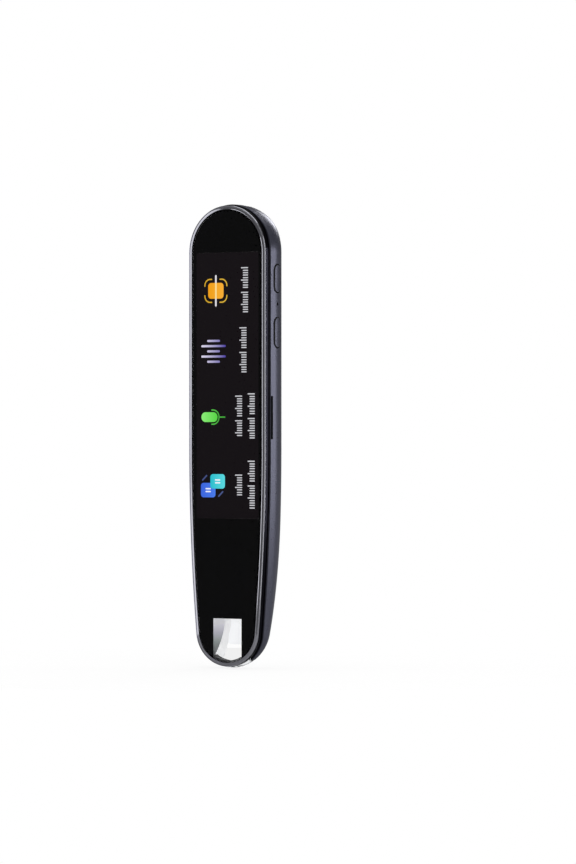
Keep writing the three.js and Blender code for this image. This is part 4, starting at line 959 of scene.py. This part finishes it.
class SCANPEN_OT_shields(bpy.types.Operator):
    """Cuts the shields beside the nose window, sheets of painted light and shade: a grey one, dark below and light
    above, over a glowing white one on each side
    """
    bl_idname = "scanpen.shields"
    bl_label = "Painted Light Shields"

    def execute(self, context):
        # painted shade and light: the grey shield runs from dark at the bottom to white at the top and glows
        stops = [(0.0, srgb(84, 86, 88)), (0.35, srgb(142, 150, 149)), (0.6, srgb(188, 187, 198)),
                 (1.0, srgb(244, 244, 248))]
        painted_light_finish = painted_light_ramp("Grey shield", stops, 4.5 * MM, SHIELD_TOP, 0.35)
        # painted light: the white shield glows though it is no lamp
        white = grained("White shield", srgb(244, 245, 247), srgb(251, 251, 252), (0.3, 0.4), bump=0.0,
                        Emission_Color=WHITE, Emission_Strength=0.4)
        covers = shield_plates(*SHIELD_COVER, swept_depth)
        plates = shield_plates(*SHIELD_PLATE, lambda z: back_depth(z, SHIELD_BACK_INSET))
        cover = piece("shield_covers", covers, "hood", painted_light_finish)
        coat(cover, white, lambda x, depth, z, normal: abs(normal.x) < 0.5 and depth > SWEEP_FRONT)
        piece("shield_plates", plates, "hood", white)
        return {"FINISHED"}


# --- buttons, plate and socket

BUTTON_COLUMNS = 64
PLATE_COLUMNS = 160
PLATE_RIM = 0.45 * MM
PLATE_RIM_HEIGHT = 0.15 * MM
PLATE_ROUND = 0.1 * MM
CONTACT_PITCH = 0.5 * MM
CONTACT_THICKNESS = 0.03 * MM
CONTACT_WIDTH = 0.25 * MM
CONTACT_LENGTH = 3.4 * MM
CONTACT_DROP = 2.1 * MM
METAL_ROUND = 0.06 * MM


def stadium_point(column, columns, width, height, inset):
    """Point (across, along) of an upright outline with half-round ends, drawn in by inset."""
    column %= columns
    half = columns // 2
    top = column < half
    turn = math.pi * (column % half) / (half - 1) + (0 if top else math.pi)
    radius = width / 2 - inset
    straight = (height - width) / 2
    return radius * math.cos(turn), radius * math.sin(turn) + (straight if top else -straight)


class SCANPEN_OT_buttons(bpy.types.Operator):
    """Moulds the two side buttons, their faces following the shell"""
    bl_idname = "scanpen.buttons"
    bl_label = "Side Buttons"

    def execute(self, context):
        sizes, colours = context.scene.pen_sizes, context.scene.pen_colours
        radius, edge = BUTTON_WIDTH / 2, sizes.button_round
        rows = [(radius * (1 - step / 12), 0) for step in range(12)]
        rows = [row for row in rows if row[0] > edge]
        rows += [(edge * (1 - math.sin(turn)), edge * (1 - math.cos(turn))) for turn in quarter_turns(6)]
        faces = len(rows)
        rows += [(0, FLANGE_FACE_X), (-FLANGE_MARGIN, FLANGE_FACE_X), (-FLANGE_MARGIN, FLANGE_X),
                 (radius, FLANGE_X)]
        for name, (z, size, body) in BUTTONS.items():
            def place(column, row):
                inset, value = rows[row]
                across, height = stadium_point(column, BUTTON_COLUMNS, BUTTON_WIDTH, size, inset)
                depth = BUTTON_DEPTH + across
                x = side_x(depth, z + height, sizes.button_proud) - value if row < faces else value
                return at(x, depth, z + height)

            bm = woven_grid(BUTTON_COLUMNS, len(rows) - 1, place)
            cap = piece(name + "_cap", bm, body, shell_finish(colours), [name])
            # painted shade: the cap's walls and flange take the black material so the gap round the button looks
            # dark
            coat(cap, black_plastic_and_shade(),
                 lambda x, depth, z, normal: x < side_x(depth, z, sizes.button_proud) - 0.2 * edge)
        return {"FINISHED"}


def slit_places():
    """Each slit of the speaker plate as (x, z, turn about Y), seen from the front."""
    places = []
    for group in range(3):
        turn = math.radians(120 * group)
        for middle in (-1, 0, 1):
            forward, across = (-1.75 - 0.95 * middle) * MM, (-3.25 + 2 * middle) * MM
            x = forward * math.cos(turn) - across * math.sin(turn)
            z = forward * math.sin(turn) + across * math.cos(turn)
            places.append((-x, SLIT_Z + z, turn))
    return places


class SCANPEN_OT_speaker(bpy.types.Operator):
    """Stamps the brushed speaker plate with its raised rim and its nine slits"""
    bl_idname = "scanpen.speaker"
    bl_label = "Speaker Plate"

    def execute(self, context):
        sizes, colours = context.scene.pen_sizes, context.scene.pen_colours
        low = PLATE_DEPTH - PLATE_THICKNESS
        rows = [(PLATE_WIDTH / 2, low), (0, low)]
        rows += [(PLATE_ROUND * (1 - math.cos(turn)), PLATE_DEPTH - PLATE_ROUND + PLATE_ROUND * math.sin(turn))
                 for turn in quarter_turns(4)]
        rows += [(PLATE_RIM - 0.08 * MM, PLATE_DEPTH), (PLATE_RIM - 0.02 * MM, PLATE_DEPTH - 0.03 * MM),
                 (PLATE_RIM, PLATE_DEPTH - PLATE_RIM_HEIGHT), (PLATE_WIDTH / 2, PLATE_DEPTH - PLATE_RIM_HEIGHT)]

        def place(column, row):
            inset, depth = rows[row]
            across, height = stadium_point(column, PLATE_COLUMNS, PLATE_WIDTH, PLATE_LENGTH, inset)
            return at(across, depth, PLATE_Z + height)

        plate = woven_grid(PLATE_COLUMNS, len(rows) - 1, place)
        slits = []
        for x, z, turn in slit_places():
            slit = slab(sizes.slit_length, sizes.slit_width, 0.3 * MM, PLATE_THICKNESS + 2 * OVERRUN, 6)
            slits.append(placed(slit, at(x, low - OVERRUN, z), Matrix.Rotation(turn, 3, "Y")))
        brushed = grained(
            "Brushed plate", tuple(colours.plate), srgb(112, 112, 130), (0.28, 0.36), metallic=0.9,
            scale=3200.0, stretch=(1, 1, 0.02), marks=0.15, bump=0.12, relief=0.01 * MM,
        )
        piece("plate", carve(plate, *slits), "casing", brushed, ["speaker_plate"])
        return {"FINISHED"}


def plated_steel():
    return grained("Plated steel", srgb(150, 151, 155), srgb(176, 177, 181), (0.22, 0.36), metallic=1.0,
                   scale=1500.0, marks=0.5, bump=0.08)


class SCANPEN_OT_port(bpy.types.Operator):
    """Draws the metal socket in the tail, its tongue and the contacts on it"""
    bl_idname = "scanpen.port"
    bl_label = "Charging Socket"

    def execute(self, context):
        low = USB_TOP - USB_LENGTH
        radius = USB_HEIGHT / 2
        outer = up_slab(USB_WIDTH, USB_HEIGHT, radius, low, USB_TOP, USB_DEPTH, 12)
        inner = up_slab(USB_WIDTH - 2 * USB_WALL, USB_HEIGHT - 2 * USB_WALL, radius - USB_WALL,
                        low + 0.5 * MM, USB_TOP + OVERRUN, USB_DEPTH, 12)
        shell = soften(carve(outer, inner), METAL_ROUND, lambda edge: edge.verts[0].co.z > USB_TOP - WELD)
        piece("port_shell", shell, "casing", plated_steel(), ["usb_socket"])
        start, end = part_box("usb_tongue")
        size = end - start
        depth = (start.y + end.y) / 2 - FRONT_Y
        tongue = up_slab(size.x, size.y, 0.12 * MM, start.z, end.z, depth, 4)
        piece("port_tongue", soften(tongue, METAL_ROUND), "casing", black_plastic_and_shade(), ["usb_tongue"])
        pads = []
        for side in (-1, 1):
            face = depth + side * size.y / 2 - CONTACT_THICKNESS / 2
            for column in range(12):
                pad = slab(CONTACT_WIDTH, CONTACT_LENGTH, 0, CONTACT_THICKNESS)
                pads.append(placed(pad, at((column - 5.5) * CONTACT_PITCH, face, end.z - CONTACT_DROP)))
        gold = grained("Gilt contacts", srgb(212, 170, 92), srgb(190, 148, 74), (0.2, 0.35), metallic=1.0,
                       scale=2500.0, bump=0.05)
        piece("port_contacts", merged(*pads), "casing", gold)
        return {"FINISHED"}


# --- screen picture

PRINT_DEPTH = 0.765 * MM
PRINT_THICKNESS = 0.006 * MM

# Rows of strokes in millimetres: where they stand across the pen, and their lower and upper ends
STROKE_ROWS = (
    (8.05, 112.4, 126.9), (7.45, 93.2, 107.9), (5.75, 73.4, 86.3), (10.65, 72, 87), (5.75, 54.4, 61.3),
    (10.65, 50, 65.7),
)


def mark(width, height, radius, x, z, turn=0, depth=PRINT_DEPTH, thickness=PRINT_THICKNESS):
    """A flat mark on the display, in millimetres and degrees, its middle at x and z."""
    shape = slab(width * MM, height * MM, radius * MM, thickness, 8)
    return placed(shape, at(x * MM, depth, z * MM), Matrix.Rotation(math.radians(turn), 3, "Y"))


def cutter(width, height, radius, x, z):
    """A block through the marks."""
    return mark(width, height, radius, x, z, 0, PRINT_DEPTH - 4 * PRINT_THICKNESS, 10 * PRINT_THICKNESS)


def scan_sign():
    """A square between four corner brackets, with a line across it."""
    x, z = -4.5, 119.6
    square = carve(mark(6, 5, 1.1, x, z), cutter(0.62, 12, 0, x, z))
    brackets = carve(
        mark(9, 7.7, 2.2, x, z), cutter(8.2, 6.9, 1.8, x, z), cutter(2.9, 12, 0, x, z), cutter(12, 2.7, 0, x, z),
    )
    middle = mark(0.62, 5, 0, x, z)
    line = carve(mark(0.62, 10, 0.3, x, z), cutter(2, 5, 0, x, z))
    return [(square, "Orange light", srgb(242, 160, 18), srgb(250, 176, 52)),
            (brackets, "Yellow light", srgb(214, 168, 44), srgb(222, 180, 60)),
            (middle, "Cream light", srgb(252, 220, 140), srgb(255, 228, 160)),
            (line, "Pale light", srgb(222, 220, 226), srgb(232, 230, 236))]


def wave_sign():
    """Five level bars, long and short in turn."""
    widths = (5, 9.6, 5, 9.6, 5)
    bars = [mark(wide, 0.68, 0.34, -5.4, 100.4 + (index - 2) * 1.65) for index, wide in enumerate(widths)]
    return [(merged(*bars), "Violet light", srgb(224, 218, 240), srgb(70, 54, 160))]


def voice_sign():
    """A long drop lying in a cradle with a stem."""
    x, z = -7, 79.5
    body = mark(6.3, 3.1, 1.55, x, z)
    cradle = carve(mark(7.9, 4.9, 2.45, x, z), cutter(7.1, 4.1, 2.05, x, z), cutter(7.3, 8, 0, x - 2.9, z))
    stem = mark(2.3, 0.42, 0.2, x + 5.05, z)
    return [(body, "Green light", srgb(140, 238, 120), srgb(84, 214, 66)),
            (merged(cradle, stem), "Leaf light", srgb(84, 190, 72), srgb(66, 168, 58))]


def pages_sign():
    """Two overlapping cards, each with a small mark, between two short strokes."""
    cyan, blue = (-3.8, 59.1), (-7.5, 56.3)
    places = [(x, z + step) for x, z in (cyan, blue) for step in (-0.45, 0.45)]
    front, back = (
        carve(mark(5.7, 4.6, 1, *card), *[cutter(2.1, 0.45, 0.22, *place) for place in places])
        for card in (cyan, blue)
    )
    back = carve(back, cutter(5.7, 4.6, 1, *cyan))
    bars = merged(*[mark(2.1, 0.45, 0.22, *place) for place in places])
    strokes = merged(mark(2.6, 0.5, 0.25, -8.9, 60.2, -42), mark(2.6, 0.5, 0.25, -2.6, 55.1, -42))
    return [(front, "Cyan light", srgb(38, 190, 206), srgb(90, 220, 226)),
            (back, "Blue light", srgb(58, 100, 220), srgb(74, 124, 236)),
            (bars, "White light", srgb(236, 240, 250), srgb(240, 244, 252)),
            (strokes, "Dusk light", srgb(66, 78, 128), srgb(74, 88, 140))]


def stroke_row(base, low, high):
    """A row of fine upright strokes of two heights, in groups."""
    strokes, z, index = [], high, 0
    while z - low > 0.3:
        tall = 2.75 if index % 5 == 0 else 2
        if index % 11 != 9:
            strokes.append(mark(tall, 0.36, 0.15, base - tall / 2, z - 0.18))
        z -= 0.74 if index % 3 else 0.84
        index += 1
    return strokes


class SCANPEN_OT_picture(bpy.types.Operator):
    """Lights the display with four signs and six rows of strokes"""
    bl_idname = "scanpen.picture"
    bl_label = "Display Picture"

    def execute(self, context):
        signs = {"sign_scan": scan_sign(), "sign_wave": wave_sign(), "sign_voice": voice_sign(),
                 "sign_pages": pages_sign()}
        for name, parts in signs.items():
            for index, (bm, light, first, second) in enumerate(parts):
                xs = [vert.co.x for vert in bm.verts]
                light = glowing(light, first, second, min(xs), max(xs))
                piece(f"{name}_{index + 1}", bm, "casing", light)
        strokes = [stroke for place in STROKE_ROWS for stroke in stroke_row(*place)]
        pale = glowing("Caption light", srgb(196, 196, 202), srgb(214, 214, 218), 0, WIDTH / 2)
        piece("captions", merged(*strokes), "casing", pale)
        return {"FINISHED"}


# --- inner pieces

def inner_finishes():
    """A finish for each slot of the solid model's own pieces."""
    return {
        "steel": plated_steel(),
        "black": black_plastic_and_shade(),
        "foam": grained("Black foam", srgb(20, 20, 22), srgb(34, 34, 37), (0.8, 0.95), scale=3500.0, bump=0.6),
        "board": grained("Green board", srgb(16, 62, 40), srgb(24, 78, 50), (0.28, 0.42), scale=1600.0, bump=0.1),
        "film": grained("Amber film", srgb(166, 108, 38), srgb(190, 130, 52), (0.3, 0.45), scale=900.0, bump=0.05),
        "cell": grained("Foil pouch", srgb(158, 161, 166), srgb(182, 184, 188), (0.25, 0.42), metallic=0.9,
                        scale=700.0, marks=0.7, bump=0.3),
        "lamp": grained("White resin", srgb(226, 224, 214), srgb(238, 236, 228), (0.3, 0.4), scale=1500.0,
                        bump=0.05),
        "red": grained("Red insulation", srgb(150, 26, 24), srgb(172, 38, 34), (0.35, 0.5), scale=1500.0,
                       bump=0.05),
    }


class SCANPEN_OT_inner(bpy.types.Operator):
    """Finishes the pieces inside the pen"""
    bl_idname = "scanpen.inner"
    bl_label = "Inner Pieces"

    def execute(self, context):
        finishes = inner_finishes()
        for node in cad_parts.values():
            if node.hide_render:
                continue
            for place in node.material_slots:
                base = place.material.name.split(".")[0]
                if base in finishes:
                    place.material = finishes[base]
        return {"FINISHED"}


# --- studio

# Each lamp's name, azimuth in degrees, distance, height, width, tallness and watts
LAMPS = (
    ("side_strip", 62, 0.8, 0.1, 0.55, 0.9, 2.6),
    ("corner_strip", 138, 0.8, 0.11, 0.14, 0.24, 0.38),
    ("left_panel", 280, 0.9, 0.15, 1.26, 1, 3.4),
    ("top_panel", 180, 0.1, 1, 1, 1, 3.4),
    ("tail_panel", 192, 0.74, 0.42, 0.22, 0.22, 0.6),
)
BEHIND_BAND = (0.97, 0.995)
FRONT_BAND = (0.93, 0.985)
UNDER_BAND = (0.4, 0.65)
UNDER_DIRECTION = (0, 0.5, -0.866)
FLOOR_DROP = 0.2 * MM
FLOOR_GLOW = 0.84
TALL_SENSOR = 36
TARGET_RIGHT = 15.15 * MM
TARGET_HEIGHT = 74.77 * MM


def look(azimuth, distance, height):
    """A place round the pen, azimuth 0 in front and 90 degrees on its right side."""
    return Vector((math.sin(azimuth) * distance, -math.cos(azimuth) * distance, height))


def aimed(name, data, place, target):
    """A lamp or camera at a place, looking at the target."""
    obj = linked(name, data)
    obj.location = place
    obj.rotation_euler = (target - place).to_track_quat("-Z", "Y").to_euler()
    return obj


def area_light(name, azimuth, distance, height, width, tall, power):
    """A flat lamp that faces the pen's middle."""
    lamp = bpy.data.lights.new(name, "AREA")
    lamp.shape = "RECTANGLE"
    lamp.size, lamp.size_y = width, tall
    lamp.energy = power
    aimed(name, lamp, look(math.radians(azimuth), distance, height), Vector((0, 0, LENGTH / 2)))


def white_world(settings):
    """White to the camera and through clear pieces, and in reflections behind the pen; dimmer all round."""
    world = bpy.data.worlds.new("Studio world")
    world.use_nodes = True
    tree = world.node_tree
    path = add_node(tree, "LightPath").outputs
    glossy = path["Is Glossy Ray"]
    place = add_node(tree, "TexCoord").outputs["Generated"]

    def band(direction, limits, level=1.0, kind="SMOOTHSTEP"):
        towards = add_node(tree, "VectorMath", {0: place, 1: direction}, operation="DOT_PRODUCT")
        return ranged(tree, towards.outputs["Value"], *limits, 0.0, level, kind)

    behind = band(-look(settings.azimuth, 1, 0), BEHIND_BAND, kind="LINEAR")
    front = band(-look(math.pi - settings.azimuth, 1, 0), FRONT_BAND, settings.front_shine)
    under = band(UNDER_DIRECTION, UNDER_BAND, settings.floor_shine)
    bright = calculated(tree, "MAXIMUM", calculated(tree, "MAXIMUM", behind, front), under)
    shown = calculated(tree, "MAXIMUM", path["Is Camera Ray"], path["Is Transmission Ray"])
    white = calculated(tree, "MULTIPLY_ADD", bright, glossy, shown)
    level = mix_number(tree, glossy, settings.room_soft, settings.room_shine)
    fill(tree, tree.nodes["Background"], {"Color": WHITE, "Strength": mix_number(tree, white, level, 1.0)})
    return world


def white_floor(settings):
    """A round white floor that keeps the pen's shadow; what it throws back on the pen is dimmer."""
    bm = bmesh.new()
    bmesh.ops.create_circle(bm, cap_ends=True, segments=96, radius=settings.floor_radius)
    bmesh.ops.translate(bm, verts=bm.verts, vec=(0, 0, -FLOOR_DROP))
    floor = linked("floor", mesh_of("floor", bm))
    material, tree, shader = material_base("White floor")
    path = add_node(tree, "LightPath").outputs
    shine = settings.floor_shine
    bounced = calculated(tree, "MAXIMUM", path["Is Glossy Ray"], path["Is Diffuse Ray"])
    fill(tree, shader, {
        "Roughness": 0.9, "Specular IOR Level": 0.0,
        "Base Color": mix_colour(tree, bounced, WHITE, (shine, shine, shine, 1)),
    })
    glow = add_node(tree, "Emission", {"Color": WHITE})
    seen = calculated(tree, "MAXIMUM", path["Is Camera Ray"], path["Is Transmission Ray"])
    mix = add_node(tree, "MixShader", {
        "Fac": calculated(tree, "MULTIPLY", seen, FLOOR_GLOW),
        1: shader.outputs["BSDF"], 2: glow.outputs["Emission"],
    })
    fill(tree, tree.nodes["Material Output"], {"Surface": mix.outputs["Shader"]})
    floor.data.materials.append(material)
    return floor


class SCANPEN_OT_studio(bpy.types.Operator):
    """Sets the white studio, its lamps and the camera"""
    bl_idname = "scanpen.studio"
    bl_label = "Studio"

    def execute(self, context):
        scene, settings = context.scene, context.scene.pen_studio
        scene.view_settings.view_transform = "Standard"
        scene.world = white_world(settings)
        floor = white_floor(settings)
        for lamp in LAMPS:
            area_light(*lamp)
        distance = settings.view_height * settings.lens / TALL_SENSOR
        turn = settings.azimuth
        target = Vector((0, 0, TARGET_HEIGHT)) + TARGET_RIGHT * Vector((math.cos(turn), math.sin(turn), 0))
        camera = bpy.data.cameras.new("camera")
        camera.lens = settings.lens
        camera.clip_start, camera.clip_end = 0.01, 20
        scene.camera = aimed("camera", camera, target + look(turn, distance, 0), target)
        return {"FINISHED"}


# --- add-on

STEPS = (
    SCANPEN_OT_shell, SCANPEN_OT_frame, SCANPEN_OT_glass, SCANPEN_OT_hood, SCANPEN_OT_shields,
    SCANPEN_OT_buttons, SCANPEN_OT_speaker, SCANPEN_OT_port, SCANPEN_OT_picture, SCANPEN_OT_inner,
    SCANPEN_OT_studio,
)


class SCANPEN_PT_panel(bpy.types.Panel):
    """Lists the steps that build the scanning pen"""
    bl_idname = "SCANPEN_PT_panel"
    bl_label = "Scanning Pen"
    bl_space_type = "VIEW_3D"
    bl_region_type = "UI"
    bl_category = "Scanning Pen"

    def draw(self, context):
        for step in STEPS:
            self.layout.operator(step.bl_idname)


CLASSES = (PenSizes, PenColours, StudioSettings, *STEPS, SCANPEN_PT_panel)


def register():
    for cls in CLASSES:
        bpy.utils.register_class(cls)
    bpy.types.Scene.pen_sizes = PointerProperty(type=PenSizes)
    bpy.types.Scene.pen_colours = PointerProperty(type=PenColours)
    bpy.types.Scene.pen_studio = PointerProperty(type=StudioSettings)


def unregister():
    del bpy.types.Scene.pen_studio
    del bpy.types.Scene.pen_colours
    del bpy.types.Scene.pen_sizes
    for cls in reversed(CLASSES):
        bpy.utils.unregister_class(cls)


def main():
    register()
    bpy.ops.scanpen.shell()
    bpy.ops.scanpen.frame()
    bpy.ops.scanpen.glass()
    bpy.ops.scanpen.hood()
    bpy.ops.scanpen.shields()
    bpy.ops.scanpen.buttons()
    bpy.ops.scanpen.speaker()
    bpy.ops.scanpen.port()
    bpy.ops.scanpen.picture()
    bpy.ops.scanpen.inner()
    bpy.ops.scanpen.studio()


if __name__ == "__main__":
    main()
